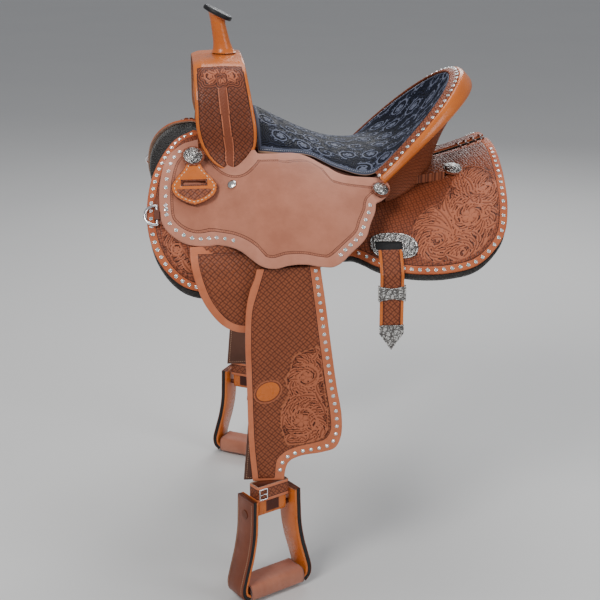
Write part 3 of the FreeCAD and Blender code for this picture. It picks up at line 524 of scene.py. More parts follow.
class Carving:
    """Floral carving: stems, leaves and flowers stand up from a sunk, matted ground."""

    def __init__(self, depth=0.9):
        self.parts, self.depth = [], depth

    def stem(self, line, w0=1.9, w1=1.2):
        self.parts.append(("stem", np.array(line), w0, w1))

    def leaf(self, root, tip, width=4.0, bend=0.25):
        root, tip = np.array(root, float), np.array(tip, float)
        d = tip - root
        mid = (root + tip) / 2 + np.array([-d[1], d[0]]) * bend
        t = np.linspace(0, 1, 10)[:, None]
        self.parts.append(("leaf", (1 - t) ** 2 * root + 2 * t * (1 - t) * mid + t ** 2 * tip, width, 0))

    def flower(self, centre, radius, petals=5, turn=0.0):
        self.parts.append(("flower", np.array([centre], float), radius, (petals, turn)))

    def fill(self, region, length, centres):
        """Cover a region with leaves that stream round the nearest centre, behind what is added later."""
        centres = np.array(centres, float)
        low, high = region.min(0), region.max(0)
        step = length * 0.56
        for row, y in enumerate(np.arange(low[1], high[1], step * 0.86)):
            for x in np.arange(low[0] + (row % 2) * step / 2, high[0], step):
                spot = np.array([x, y])
                k = int(np.argmin(np.hypot(*(centres - spot).T)))
                sign = 1 if k % 2 == 0 else -1
                out = spot - centres[k]
                sway = math.radians(62) + 0.35 * math.sin(x * 0.11 + y * 0.07)
                lean = math.atan2(out[1], out[0]) + sign * sway
                way = np.array([math.cos(lean), math.sin(lean)]) * length / 2
                if np.all(inside(np.array([spot - way * 0.9, spot + way * 0.9]), region)):
                    self.leaf(spot - way, spot + way, length * 0.205, -0.34 * sign)

    def scroll(self, centre, radius, start, turns=1.35, sign=1, leaves=6, flower=True):
        """A stem that winds in to a flower or a curl, with leaves thrown outward."""
        a = start + sign * np.linspace(0, turns * 2 * math.pi, 46)
        r = radius * np.linspace(1.0, 0.5 if flower else 0.12, 46)
        line = np.stack([centre[0] + r * np.cos(a), centre[1] + r * np.sin(a)], 1)
        self.stem(line, 2.2, 1.5)
        for k in range(leaves):
            i = int(2 + 30 * k / max(leaves, 1))
            out = np.array([math.cos(a[i]), math.sin(a[i])])
            back = -sign * np.array([-out[1], out[0]])
            tip = line[i] + (out * 0.72 + back * 0.5) * radius * (0.42 + 0.12 * (k % 2))
            self.leaf(line[i] + out, tip, radius * 0.13 + 1.2, 0.25 * sign)
        if flower:
            self.flower(centre, radius * 0.46, 5, start)
        else:
            self.flower(centre, max(radius * 0.16, 2.6), 4, start)

    def __call__(self, points):
        height = np.full(len(points), -9.0)
        flow = np.full(len(points), 1e6)
        for kind, line, w0, extra in self.parts:
            low, high = line.min(0), line.max(0)
            reach = (w0 * 1.5 if kind == "flower" else max(w0, 2.0)) + 17.0
            near = np.all((points > low - reach) & (points < high + reach), axis=1)
            p = points[near]
            if not len(p):
                continue
            if kind == "flower":
                petals, turn = extra
                d = p - line[0]
                r = np.hypot(d[:, 0], d[:, 1]) / w0
                a = np.arctan2(d[:, 1], d[:, 0]) + turn
                lobe = np.abs(np.cos(a * petals / 2))
                edge = 0.68 + 0.32 * lobe ** 0.6
                rise = 0.45 * np.sqrt(np.clip(1 - (r / edge) ** 2, 0, 1)) + 0.1
                rise -= 0.5 * np.exp(-((lobe / 0.22) ** 2)) * (r > 0.28)
                rise = np.where(r < 0.28, 0.5 - 0.35 * np.abs(np.sin(a * 4)) * (r > 0.13), rise)
                value = np.where(r < edge, rise, np.where(r < edge + 0.9 / w0, -self.depth * 1.35, -9))
                flow[near] = np.minimum(flow[near], (r - edge) * w0)
            else:
                d, t = along(p, line)
                if kind == "leaf":
                    w = w0 * np.sin(np.pi * np.clip(t, 0.02, 0.98)) ** 0.75 * (1.15 - 0.5 * t) + 0.3
                    vein = 0.55 * np.exp(-((d / 0.8) ** 2)) * (t > 0.12)
                    body = 0.15 + 0.4 * np.clip(d / w, 0, 1)
                else:
                    w = w0 + (extra - w0) * t
                    vein = 0.0
                    body = 0.5 * np.sqrt(np.clip(1 - (d / w) ** 2, 0, 1)) + 0.05
                value = np.where(d < w, body - vein, np.where(d < w + 0.9, -self.depth * 1.35, -9))
                flow[near] = np.minimum(flow[near], d - w)
            old = height[near]
            cut = value < -self.depth
            height[near] = np.where(value > -5, np.where(cut, np.where(old > 0, old, value), value), old)
        veins = np.cos((flow - 2.6) * 2 * math.pi / 4.4) * np.clip(1.3 - flow / 30, 0.4, 1)
        ground = -0.42 * self.depth + 0.52 * self.depth * veins
        return np.where(height < -5, ground, height)


def carve_level(height, depth):
    """0 in the sunk ground, 1 on the plain surface, 1.5 on the highest ridges; above 1 carved materials paint
    a highlight.
    """
    return np.clip(1 + height / depth, 0, 1.6)


# ---------------------------------------------------------------- materials
class Graph:
    """One material's node tree, with a short method for each kind of node."""

    def __init__(self, name):
        self.mat = bpy.data.materials.new(name)
        self.mat.use_nodes = True
        self.nodes, self.links = self.mat.node_tree.nodes, self.mat.node_tree.links
        self.bsdf = self.nodes["Principled BSDF"]

    def node(self, kind, **settings):
        node = self.nodes.new("ShaderNode" + kind)
        for key, value in settings.items():
            setattr(node, key, value)
        return node

    def put(self, socket, value):
        if isinstance(value, bpy.types.NodeSocket):
            self.links.new(value, socket)
        else:
            socket.default_value = value

    def math(self, op, a, b=0.5):
        node = self.node("Math", operation=op)
        self.put(node.inputs[0], a)
        self.put(node.inputs[1], b)
        return node.outputs[0]

    def mix(self, factor, a, b):
        node = self.node("Mix", data_type="RGBA", blend_type="MIX")
        self.put(node.inputs[0], factor)
        self.put(node.inputs[6], a if isinstance(a, bpy.types.NodeSocket) else (*a, 1))
        self.put(node.inputs[7], b if isinstance(b, bpy.types.NodeSocket) else (*b, 1))
        return node.outputs[2]

    def noise(self, where, scale, detail=3.0, rough=0.55):
        node = self.node("TexNoise")
        self.links.new(where, node.inputs["Vector"])
        node.inputs["Scale"].default_value = scale
        node.inputs["Detail"].default_value = detail
        node.inputs["Roughness"].default_value = rough
        return node.outputs["Fac"]

    def cells(self, where, scale, feature="F1"):
        node = self.node("TexVoronoi", feature=feature)
        self.links.new(where, node.inputs["Vector"])
        node.inputs["Scale"].default_value = scale
        return node.outputs["Distance"]

    def span(self, value, low, high, to_low=0.0, to_high=1.0):
        node = self.node("MapRange", interpolation_type="SMOOTHSTEP")
        for k, item in enumerate((value, low, high, to_low, to_high)):
            self.put(node.inputs[k], item)
        return node.outputs[0]

    def flat(self):
        return self.node("UVMap", uv_map="flat").outputs[0]

    def solid(self):
        return self.node("TexCoord").outputs["Object"]

    def carve(self):
        return self.node("Attribute", attribute_name="carve").outputs["Fac"]

    def bump(self, height, depth, before=None):
        node = self.node("Bump")
        node.inputs["Strength"].default_value = 1.0
        node.inputs["Distance"].default_value = depth * MM
        self.put(node.inputs["Height"], height)
        if before is not None:
            self.links.new(before, node.inputs["Normal"])
        return node.outputs[0]

    def finish(self, color, rough, normal, **constants):
        self.put(self.bsdf.inputs["Base Color"], color)
        self.put(self.bsdf.inputs["Roughness"], rough)
        if normal is not None:
            self.links.new(normal, self.bsdf.inputs["Normal"])
        for key, value in constants.items():
            self.bsdf.inputs[key.replace("_", " ")].default_value = value
        return self.mat


def weave(g, where, size, angle):
    """Basket stamp: bars two strands wide, laid across and along by turns. Returns a height."""
    turn = g.node("Mapping")
    g.links.new(where, turn.inputs["Vector"])
    turn.inputs["Rotation"].default_value = (0, 0, math.radians(angle))
    turn.inputs["Scale"].default_value = (1000 / size, 1000 / size, 1)
    parts = g.node("SeparateXYZ")
    g.links.new(turn.outputs[0], parts.inputs[0])
    p, q = parts.outputs[0], parts.outputs[1]
    odd = g.math("MODULO", g.math("ADD", g.math("FLOOR", p), g.math("ADD", g.math("FLOOR", q), 4000.0)), 2.0)
    fp, fq = g.math("FRACT", p), g.math("FRACT", q)
    swap = g.math("GREATER_THAN", odd, 0.5)
    keep = g.math("SUBTRACT", 1.0, swap)
    a = g.math("ADD", g.math("MULTIPLY", fp, swap), g.math("MULTIPLY", fq, keep))
    b = g.math("ADD", g.math("MULTIPLY", fq, swap), g.math("MULTIPLY", fp, keep))
    strands = g.math("POWER", g.math("ABSOLUTE", g.math("SINE", g.math("MULTIPLY", b, 2 * math.pi))), 0.5)
    taper = g.math("SINE", g.math("MULTIPLY", a, math.pi))
    taper = g.math("POWER", g.math("MAXIMUM", taper, 0.0001), 0.6)
    return g.math("MULTIPLY", strands, taper)


def leather(name, dark, light, recess=(0.05, 0.012, 0.008), ridge=None, stamp=None, carved=False,
            on_cad=False, rough=(0.36, 0.58), grain=1.0, coat=0.0, cloud=14.0, specular=0.28):
    """Leather with uneven dye, pores and creases.

    stamp = (size, angle) adds the basket pattern and paints its raised strands lighter towards ridge as a
    painted highlight; carved darkens what the carve attribute calls sunk and paints the highest ridges
    towards ridge, also a painted highlight; on_cad is for solids carried over from the frame, which
    have no "flat" map.
    """
    g = Graph(name)
    where = g.solid() if on_cad else g.flat()
    solid = g.solid()
    broad, fine = g.noise(solid, cloud, 4.0), g.noise(solid, 160.0, 3.0)
    pores = g.cells(where, 900.0)
    blend = g.math("ADD", g.math("MULTIPLY", g.span(broad, 0.3, 0.7), 0.65), g.math("MULTIPLY", fine, 0.35))
    color = g.mix(blend, dark, light)
    normal = g.bump(g.math("ADD", pores, g.noise(where, 420.0, 2.0)), 0.10 * grain)
    if stamp:
        height = weave(g, where, *stamp)
        lifted = g.span(height, 0.15, 0.85)
        deep = g.mix(0.72, color, recess)
        # painted highlight: raised basket strands lightened towards the ridge colour
        bright = g.mix(0.35, color, ridge or light)
        stamped = g.mix(lifted, deep, bright)
        color = g.mix(g.span(g.noise(where, 55.0, 2.0), 0.25, 0.4, 0.55, 1.0), color, stamped)
        normal = g.bump(height, 0.55, normal)
    if carved:
        level = g.carve()
        color = g.mix(g.span(level, 0.15, 0.95, 0.0, 1.0), recess, color)
        # painted highlight: the highest carved ridges lightened towards the ridge colour
        color = g.mix(g.span(level, 1.05, 1.45, 0.0, 0.75), color, ridge or light)
    scuffs = g.noise(solid, 45.0, 5.0, 0.7)
    roughness = g.span(scuffs, 0.3, 0.7, rough[0], rough[1])
    return g.finish(color, roughness, normal, Coat_Weight=coat, Coat_Roughness=0.25,
                    Specular_IOR_Level=specular)


def nap(name, dark, light):
    """Roughout leather: short nap with brushed patches."""
    g = Graph(name)
    where = g.solid()
    patches = g.noise(where, 16.0, 5.0, 0.6)
    fibre = g.noise(where, 700.0, 4.0, 0.7)
    broad = g.math("MULTIPLY", g.span(patches, 0.32, 0.68), 0.6)
    blend = g.math("ADD", broad, g.math("MULTIPLY", fibre, 0.4))
    normal = g.bump(fibre, 0.35, g.bump(g.noise(where, 90.0, 4.0), 0.5))
    return g.finish(g.mix(blend, dark, light), g.span(fibre, 0.2, 0.8, 0.78, 0.98), normal,
                    Sheen_Weight=0.25, Sheen_Roughness=0.6, Specular_IOR_Level=0.2)


def wool(name, dark, light):
    """Woolskin: round curls with fine fibre over them; curl centres painted lighter and the gaps between
    curls painted darker as shade.
    """
    g = Graph(name)
    where = g.solid()
    curls = g.cells(where, 230.0)
    fibre = g.noise(where, 900.0, 4.0, 0.75)
    # painted light and shade: curl centres lighter, the gaps between curls darker
    color = g.mix(g.math("ADD", g.math("MULTIPLY", curls, 0.9), g.math("MULTIPLY", fibre, 0.4)), light, dark)
    normal = g.bump(fibre, 0.8, g.bump(g.math("SUBTRACT", 1.0, curls), 2.2))
    return g.finish(color, g.span(fibre, 0.2, 0.8, 0.85, 1.0), normal, Sheen_Weight=0.35, Sheen_Roughness=0.5)


def metal(name, base, dark, rough=(0.18, 0.38), engraved=0.0, carved=False):
    """Metal with fine scratches; engraved adds cut scrolls with dark antiquing in them."""
    g = Graph(name)
    where = g.solid()
    scratches = g.noise(where, 600.0, 3.0)
    tarnish = g.noise(where, 60.0, 5.0)
    color = g.mix(g.span(tarnish, 0.45, 0.8, 0.0, 0.45), base, dark)
    normal = g.bump(scratches, 0.03)
    if engraved:
        lines = g.cells(where, engraved, "DISTANCE_TO_EDGE")
        swirl = g.noise(where, engraved * 1.6, 1.0)
        centred = g.math("ABSOLUTE", g.math("SUBTRACT", swirl, 0.5))
        cut = g.math("MULTIPLY", g.span(lines, 0.02, 0.14), g.span(centred, 0.01, 0.05))
        color = g.mix(cut, dark, color)
        normal = g.bump(cut, 0.30, normal)
    if carved:
        color = g.mix(g.span(g.carve(), 0.2, 0.9), dark, color)
    return g.finish(color, g.span(scratches, 0.3, 0.7, *rough), normal, Metallic=1.0)


def crystal(name):
    """Pale stones that shift between blue-green and pink."""
    g = Graph(name)
    tint = g.noise(g.solid(), 90.0, 1.0)
    color = g.mix(g.span(tint, 0.4, 0.6), (0.55, 0.85, 0.88), (0.95, 0.88, 0.92))
    roughness = g.span(g.noise(g.solid(), 300.0), 0.3, 0.7, 0.03, 0.08)
    return g.finish(color, roughness, None, Metallic=0.55, IOR=1.9, Coat_Weight=1.0, Coat_Roughness=0.03)


def wood(name):
    """Laminated wood, its rings drawn out along x."""
    g = Graph(name)
    stretch = g.node("Mapping")
    g.links.new(g.solid(), stretch.inputs["Vector"])
    stretch.inputs["Scale"].default_value = (1.0, 8.0, 8.0)
    rings = g.noise(stretch.outputs[0], 22.0, 5.0)
    return g.finish(g.mix(rings, (0.42, 0.24, 0.11), (0.66, 0.44, 0.24)), g.span(rings, 0.3, 0.7, 0.45, 0.65),
                    g.bump(rings, 0.3))


CHESTNUT = ((0.150, 0.034, 0.013), (0.245, 0.060, 0.024))
CHESTNUT_RECESS = (0.07, 0.014, 0.006)
# painted highlight colour for raised stamping and carving
CHESTNUT_PAINTED_HIGHLIGHT = (0.44, 0.14, 0.06)
BASKET_SIZE = 9.4
# Each ridge colour below is a painted highlight that stamped and carved leathers put on their raised parts.
MATERIALS = {
    "basket": leather("basket_chestnut", *CHESTNUT, recess=CHESTNUT_RECESS, ridge=CHESTNUT_PAINTED_HIGHLIGHT,
                      stamp=(BASKET_SIZE, 45), carved=True),
    "basket_flat": leather("basket_rows", *CHESTNUT, recess=CHESTNUT_RECESS, ridge=(0.38, 0.10, 0.042),
                           stamp=(8.6, 8), carved=True),
    "carved": leather("carved_chestnut", (0.19, 0.045, 0.018), (0.29, 0.080, 0.034),
                      recess=(0.050, 0.009, 0.004), ridge=(0.50, 0.155, 0.075), carved=True),
    "swell": leather("swell_chestnut", (0.105, 0.024, 0.010), (0.18, 0.044, 0.018),
                     recess=(0.045, 0.009, 0.004), ridge=(0.30, 0.085, 0.035), stamp=(8.8, 45), carved=True),
    "braid": leather("swell_braid", (0.10, 0.022, 0.009), (0.17, 0.040, 0.016),
                     recess=(0.03, 0.006, 0.003), ridge=(0.24, 0.065, 0.03), carved=True),
    "dark_line": leather("dark_line", (0.045, 0.010, 0.005), (0.080, 0.018, 0.009)),
    "border": leather("border_tan", (0.48, 0.130, 0.053), (0.60, 0.192, 0.092), ridge=(0.68, 0.26, 0.15),
                      cloud=22.0),
    "skirt_border": leather("border_red_tan", (0.36, 0.075, 0.028), (0.52, 0.14, 0.048), cloud=24.0),
    "orange": leather("orange_glossy", (0.50, 0.115, 0.014), (0.64, 0.165, 0.026), rough=(0.22, 0.40),
                      coat=0.3, grain=0.6),
    "orange_cad": leather("orange_plain", (0.50, 0.12, 0.02), (0.62, 0.17, 0.03), on_cad=True,
                          rough=(0.3, 0.5)),
    "brown": leather("brown_smooth", (0.13, 0.030, 0.012), (0.22, 0.056, 0.022), rough=(0.3, 0.5),
                     coat=0.15),
    "strap": leather("strap_dark", (0.075, 0.030, 0.020), (0.13, 0.055, 0.036)),
    "flesh": nap("flesh_side", (0.26, 0.13, 0.075), (0.38, 0.21, 0.13)),
    "roughout": nap("roughout_tan", (0.35, 0.118, 0.066), (0.50, 0.190, 0.115)),
    "roughout_edge": nap("roughout_border", (0.44, 0.165, 0.100), (0.57, 0.240, 0.158)),
    # darker roughout for the bands at each end of the stirrup tread
    "roughout_dark": nap("roughout_tread_ends", (0.20, 0.07, 0.045), (0.30, 0.11, 0.07)),
    "black": leather("black_leather", (0.008, 0.008, 0.009), (0.018, 0.018, 0.020), rough=(0.35, 0.55)),
    # The seat's silver-blue ridge colour is a painted highlight on its raised carving.
    "seat": leather("seat_navy", (0.006, 0.008, 0.017), (0.013, 0.017, 0.036),
                    recess=(0.0015, 0.002, 0.004), ridge=(0.15, 0.17, 0.24), carved=True,
                    rough=(0.46, 0.62), grain=0.8, specular=0.10),
    "thread": leather("thread_tan", (0.48, 0.28, 0.17), (0.66, 0.44, 0.29), rough=(0.6, 0.8)),
    "red_thread": leather("thread_brown", (0.10, 0.020, 0.010), (0.18, 0.04, 0.02), rough=(0.6, 0.8)),
    "white_lace": leather("white_lace", (0.62, 0.50, 0.38), (0.80, 0.70, 0.56), rough=(0.5, 0.7)),
    "silver_lace": metal("silver_lace", (0.60, 0.62, 0.68), (0.10, 0.10, 0.12), (0.3, 0.5)),
    "wool": wool("woolskin_dark", (0.006, 0.005, 0.005), (0.034, 0.028, 0.024)),
    "silver": metal("engraved_silver", (0.80, 0.79, 0.76), (0.14, 0.13, 0.125), (0.18, 0.36), 110.0,
                    carved=True),
    "bright_silver": metal("bright_silver", (0.86, 0.85, 0.82), (0.30, 0.29, 0.28), (0.12, 0.26)),
    "steel": metal("brushed_steel", (0.52, 0.52, 0.53), (0.20, 0.19, 0.18), (0.3, 0.5)),
    "nickel": metal("polished_nickel", (0.84, 0.84, 0.86), (0.45, 0.45, 0.46), (0.08, 0.2)),
    "crystal": crystal("crystal"),
    "wood": wood("tree_wood"),
}


# ---------------------------------------------------------------- outlines in the side view
STONE = 2.5
SKIRT_EDGE = [(-214, 118), (-249, 107), (-274, 86), (-294, 55), (-304, 17), (-304, -25), (-293, -63),
              (-270, -98), (-241, -121), (-205, -131), (-150, -131), (-60, -112), (20, -92), (72, -86),
              (117, -102),
              (160, -111), (205, -114), (249, -111), (295, -100), (328, -78), (355, -46), (367, -10),
             (373, 30),
              (376, 62), (378, 78)]
JOCKEY_EDGE = [
    [(-96, 92), (-104, 98), (-122, 84), (-144, 71), (-170, 84), (-190, 102), (-200, 109)],
    [(-200, 109), (-208, 108), (-236, 103), (-265, 85), (-278, 56), (-282, 20), (-278, -12), (-263, -31),
     (-238, -46), (-206, -52), (-157, -51), (-137, -56), (-119, -67), (-99, -78), (-78, -81),
     (-54, -76), (-25, -75),
     (6, -80), (27, -81), (45, -73), (60, -62), (92, -40), (103, -20), (115, -2), (118, 9)],
    [(118, 9), (135, 14), (149, 25), (146, 38), (126, 44)],
    [(126, 44), (62, 52), (30, 64), (5, 76), (-20, 85), (-48, 90), (-96, 92)],
]


def skirts():
    surface = OnBack(12.3)
    edge = surface.flat(spline(SKIRT_EDGE, 4.0))
    ridge = surface.from_y(np.linspace(376, -92, 90), np.full(90, -14.5))
    front = surface.from_y(np.linspace(-98, -212, 24), np.full(24, -54.0))
    loop = even(ccw(np.vstack([edge, ridge, front])), 2.6)
    seam, thick = 15.0, 5.0
    rims = [inset(loop, k) for k in (seam, 14.1, 15.9)]
    panel = surface.flat(spline([(294, 36), (327, 47), (354, 40), (352, -8), (333, -46), (306, -74),
                                 (262, -92), (215, -94), (191, -80), (188, -58), (196, -38), (222, -17),
                                 (250, -6), (275, 16)], 3.0, closed=True))
    front_panel = surface.flat(spline([(-262, -20), (-240, -60), (-214, -100), (-240, -98), (-266, -66),
                                       (-278, -34)], 3.0, closed=True))
    depth = 0.9
    c = Carving(depth)

    def at(x, z):
        return surface.flat([(x, z)])[0]

    def carved_area(q):
        return inside(q, panel) | inside(q, front_panel)

    c.fill(panel, 22.0, [at(298, -22), at(232, -62), at(334, 20), at(277, -78)])
    c.fill(front_panel, 15.0, [at(-252, -56)])
    c.scroll(at(298, -22), 34, 2.2, 1.2, 1, 8)
    c.scroll(at(232, -62), 22, 0.4, 1.3, -1, 7, flower=False)
    c.scroll(at(334, 20), 15, 3.4, 1.2, -1, 5)
    c.scroll(at(277, -78), 12, 0.6, 1.1, 1, 4, flower=False)
    for root, tip, bend in (((262, -50), (215, -22), 0.2), ((262, -50), (232, -12), 0.15),
                            ((262, -52), (202, -42), 0.25), ((268, -30), (262, 2), -0.2),
                            ((330, -50), (318, -74), 0.2), ((322, -40), (345, -28), 0.2),
                            ((244, -82), (286, -92), 0.1), ((206, -70), (196, -84), 0.2),
                            ((312, 10), (300, 32), 0.2), ((322, -2), (349, 2), 0.2)):
        c.leaf(at(*root), at(*tip), 5.0, bend)
    c.scroll(at(-252, -56), 12, 1.0, 1.2, 1, 5)
    c.leaf(at(-244, -72), at(-224, -98), 5, 0.2)

    def relief(p, d):
        inner = carved_area(p)
        height = np.zeros(len(p))
        height[inner] = c(p[inner])
        rim = np.minimum(to_line(p, panel), to_line(p, front_panel))
        height = np.where(rim < 1.0, 0.3, np.where((rim < 2.0) & ~inner, -0.7, height))
        height = np.where(np.abs(d - seam) < 0.6, -depth, height)
        return height, carve_level(height, depth)

    def zone(p, d):
        field = np.where(carved_area(p), "carved", "basket_flat")
        field = np.where(np.abs(d - seam) < 0.9, "dark_line", field)
        return np.where(d < 14.5, "skirt_border", field).tolist()

    piece = Piece()
    sheet(piece, loop, surface, thick, zone, "flesh", "skirt_border", rims, spacing=4.5,
          fine=(carved_area, 1.35), relief=relief, edge=1.6)
    spots, ahead = line_points(surface.flat(spline(SKIRT_EDGE, 1.0)), 15.5)
    tangent = ahead - spots
    tangent /= np.linalg.norm(tangent, axis=1)[:, None]
    turn = np.stack([-tangent[:, 1], tangent[:, 0]], 1)
    for sign in (1, -1):
        inner = spots + turn * 7.5 * sign
        if inside(inner, loop).mean() > 0.8:
            break
    xs = inner[:, 0]
    shown = inside(inner, loop) & ((xs < -150) | (xs > 80)) & (to_line(inner, loop) > 6.0)
    crystals(piece, inner[shown], surface, thick, STONE)
    piece.pair("skirt", replaces=["skirt_*"])
    skirt_lining(loop)


def skirt_lining(loop):
    """Woolskin under the skirt, its lower face pushed in by tufts."""
    under = OnBack(0.4)
    fleece = Piece()
    count = 24
    rng = np.random.default_rng(4)
    waves = rng.uniform(0.05, 0.6, (count, 2)) * rng.choice([-1, 1], (count, 2))
    phase = rng.uniform(0, 6.28, count)
    sheet(fleece, even(inset(loop, 3.0), 4.0), under, 11.6, one("wool"), "wool", "wool",
          spacing=4.0, edge=4.0)
    verts, p = fleece.v[0], fleece.uv[0]
    tufts = sum(np.sin(p[:, 0] * a + p[:, 1] * b + f) for (a, b), f in zip(waves, phase)) / count * 1.6
    half = len(verts) // 2
    normal = under(p)[1]
    verts[half:] += normal[half:] * np.abs(tufts[half:])[:, None] * 2.0
    left = fleece.pair("skirt_lining")[0]
    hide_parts("skirt_linings")


def seat_jockeys():
    surface = OnJockey()
    loop = even(ccw(surface.flat(outline(JOCKEY_EDGE, 2.0))), 2.4)
    outer_seam, inner_seam = (20.4, 21.5), (24.6, 25.6)
    seams = [inset(loop, k) for k in outer_seam + inner_seam]
    piece = Piece()

    def relief(p, d):
        groove = -0.6 * np.exp(-((d - 21.0) / 0.8) ** 2) - 0.45 * np.exp(-((d - 25.1) / 0.8) ** 2)
        return groove, np.ones(len(p))

    def zone(p, d):
        seam = sum((d > a) & (d < b) for a, b in (outer_seam, inner_seam)) > 0
        return np.where(seam, "dark_line", np.where(d < outer_seam[0], "roughout_edge", "roughout")).tolist()

    sheet(piece, loop, surface, JOCKEY, zone, "flesh", "roughout_edge", seams, spacing=5.0, relief=relief,
          edge=1.5)
    spots, ahead = line_points(even(inset(loop, 23.0), 1.0), 4.0, True)
    p = surface(spots)[0]
    hidden = (p[:, 2] > 60) & (p[:, 0] > -60)
    stitches(piece, spots[~hidden], ahead[~hidden], surface, JOCKEY - 0.35, "red_thread", 3.0, 0.42)
    spots, _ = line_points(even(inset(loop, 11.5), 1.0), 15.8, True)
    p = surface(spots)[0]
    front = (p[:, 0] < -138) & ((p[:, 2] < 88) | (p[:, 0] < -215)) & ((p[:, 2] < 20) | (p[:, 0] < -235))
    rear = (p[:, 0] > 36) & (p[:, 0] < 135) & (p[:, 2] < 8)
    crystals(piece, spots[front | rear], surface, JOCKEY, STONE)
    piece.pair("seat_jockey", replaces=["seat_jockey_*"])


# ---------------------------------------------------------------- swell, horn
def swell():
    """Cover of the fork: a grid that runs over the arch (rows) and from front to rear (columns)."""
    profile = [(179, 55), (157, 93), (152, 153), (134, 212), (91.2, 253), (0, 262)]
    front = [(-211, 300), (-210, 195), (-208, 138), (-197, 104), (-179, 81), (-144.5, 62)]
    rear = [(-121, 300), (-104, 190), (-96.5, 136), (-100, 104), (-119, 80), (-143.5, 62)]
    arch = even(spline(profile, 1.0), 1.5, closed=False)
    arch = arch[(arch[:, 1] > 62.5)]
    both = np.vstack([arch * [-1, 1], (arch * [1, 1])[::-1][1:]])
    f_line, r_line = spline(front, 1.0)[::-1], spline(rear, 1.0)[::-1]
    cols = 75
    s = np.linspace(0, 1, cols)
    stations = np.array([(-214, 8), (-196, 2), (-155, 0), (-114, 2), (-92, 9)], float)
    z = both[:, 1]
    x_front = np.interp(z, f_line[:, 1], f_line[:, 0])
    x_rear = np.interp(z, r_line[:, 1], r_line[:, 0])
    x = x_front[:, None] + (x_rear - x_front)[:, None] * s
    less = np.interp(x, stations[:, 0], stations[:, 1])
    tangent = np.gradient(both, axis=0)
    normal = np.stack([-tangent[:, 1], tangent[:, 0]], 1)
    normal /= np.linalg.norm(normal, axis=1)[:, None]
    out = np.sign(both[:, 0] * normal[:, 0] + (both[:, 1] - 120) * normal[:, 1])
    normal *= out[:, None]
    width = (x_rear - x_front)[:, None] * np.ones(cols)
    from_edge = np.minimum(s, 1 - s)[None] * width
    edge_drop = 1.4 * np.clip(1 - from_edge / 3.0, 0, 1) ** 2
    centre = (s[None] - 0.5) * width
    run = run_of(both)[:, None] * np.ones(cols)
    low_part = np.clip((250 - z[:, None]) / 10, 0, 1) * np.ones(cols)
    band = np.clip(np.minimum(width * 0.10, 6.5), 1.6, 7)
    braid = (np.abs(centre) < band) & (from_edge > 5)
    height = np.where(braid, 0.9 * np.abs(np.sin((run + np.abs(centre) * 1.2) * math.pi / 6.4)) + 0.2, 0.0)
    line_gap = np.abs(np.abs(centre) - band - 0.9)
    height = np.where(line_gap < 0.9, 0.8, height)
    height = np.where(np.abs(np.abs(centre) - band - 2.8) < 0.7, -0.7, height)
    groove = np.abs(from_edge - 6.5) < 0.8
    height = np.where(groove, -0.8, height) * low_part
    c = Carving(0.8)
    panels = (186.0, run[-1, 0] - 186.0)
    for y0 in panels:
        c.scroll((-20.0, y0), 12, 0.5, 1.2, 1, 6)
        c.scroll((20.0, y0), 12, 2.5, 1.2, -1, 6)
        for dx, dy in ((-26, 15), (-8, 20), (10, 18), (26, 14), (-28, -14), (-4, -18), (6, -16),
                       (28, -15)):
            c.leaf((dx * 0.4, y0 + dy * 0.3), (dx, y0 + dy), 4.2, 0.2)
    uv = np.stack([centre.ravel(), run.ravel()], 1)
    flowers = c(uv).reshape(centre.shape)
    near_top = (np.abs(run - panels[0]) < 25) | (np.abs(run - panels[1]) < 25)
    carved = near_top & (from_edge > 8)
    height = np.where(carved, flowers, height)

    def layer(out):
        return np.stack([x, both[:, :1] + normal[:, :1] * out, z[:, None] + normal[:, 1:] * out], 2)

    def middle(a):
        return (a[:-1, :-1] + a[1:, 1:]) / 2

    top, low = layer(height - edge_drop - less), layer(-2.9 - less)
    edge_gap, from_centre = middle(from_edge), np.abs(middle(centre))
    names = np.where(from_centre < middle(band), "braid", "swell")
    names = np.where(np.abs(from_centre - middle(band) - 0.9) < 0.72, "border", names)
    names = np.where(middle(carved.astype(float)) > 0.5, "carved", names)
    names = np.where(np.abs(edge_gap - 6.5) < 1.2, "dark_line", names)
    names = np.where((middle(z[:, None] * np.ones(cols)) > 250) | (edge_gap < 6.0), "orange", names)
    crown = len(both) // 2
    test = np.cross(top[crown + 1, 3] - top[crown, 3], top[crown, 4] - top[crown, 3])
    piece = Piece()
    slab(piece, top, low, names.ravel().tolist(), "flesh", "brown", uv,
         np.tile(carve_level(height, 0.8).ravel(), 2), flip=test[2] < 0)
    piece.make("swell_cover", "root", ["swell_cover"])


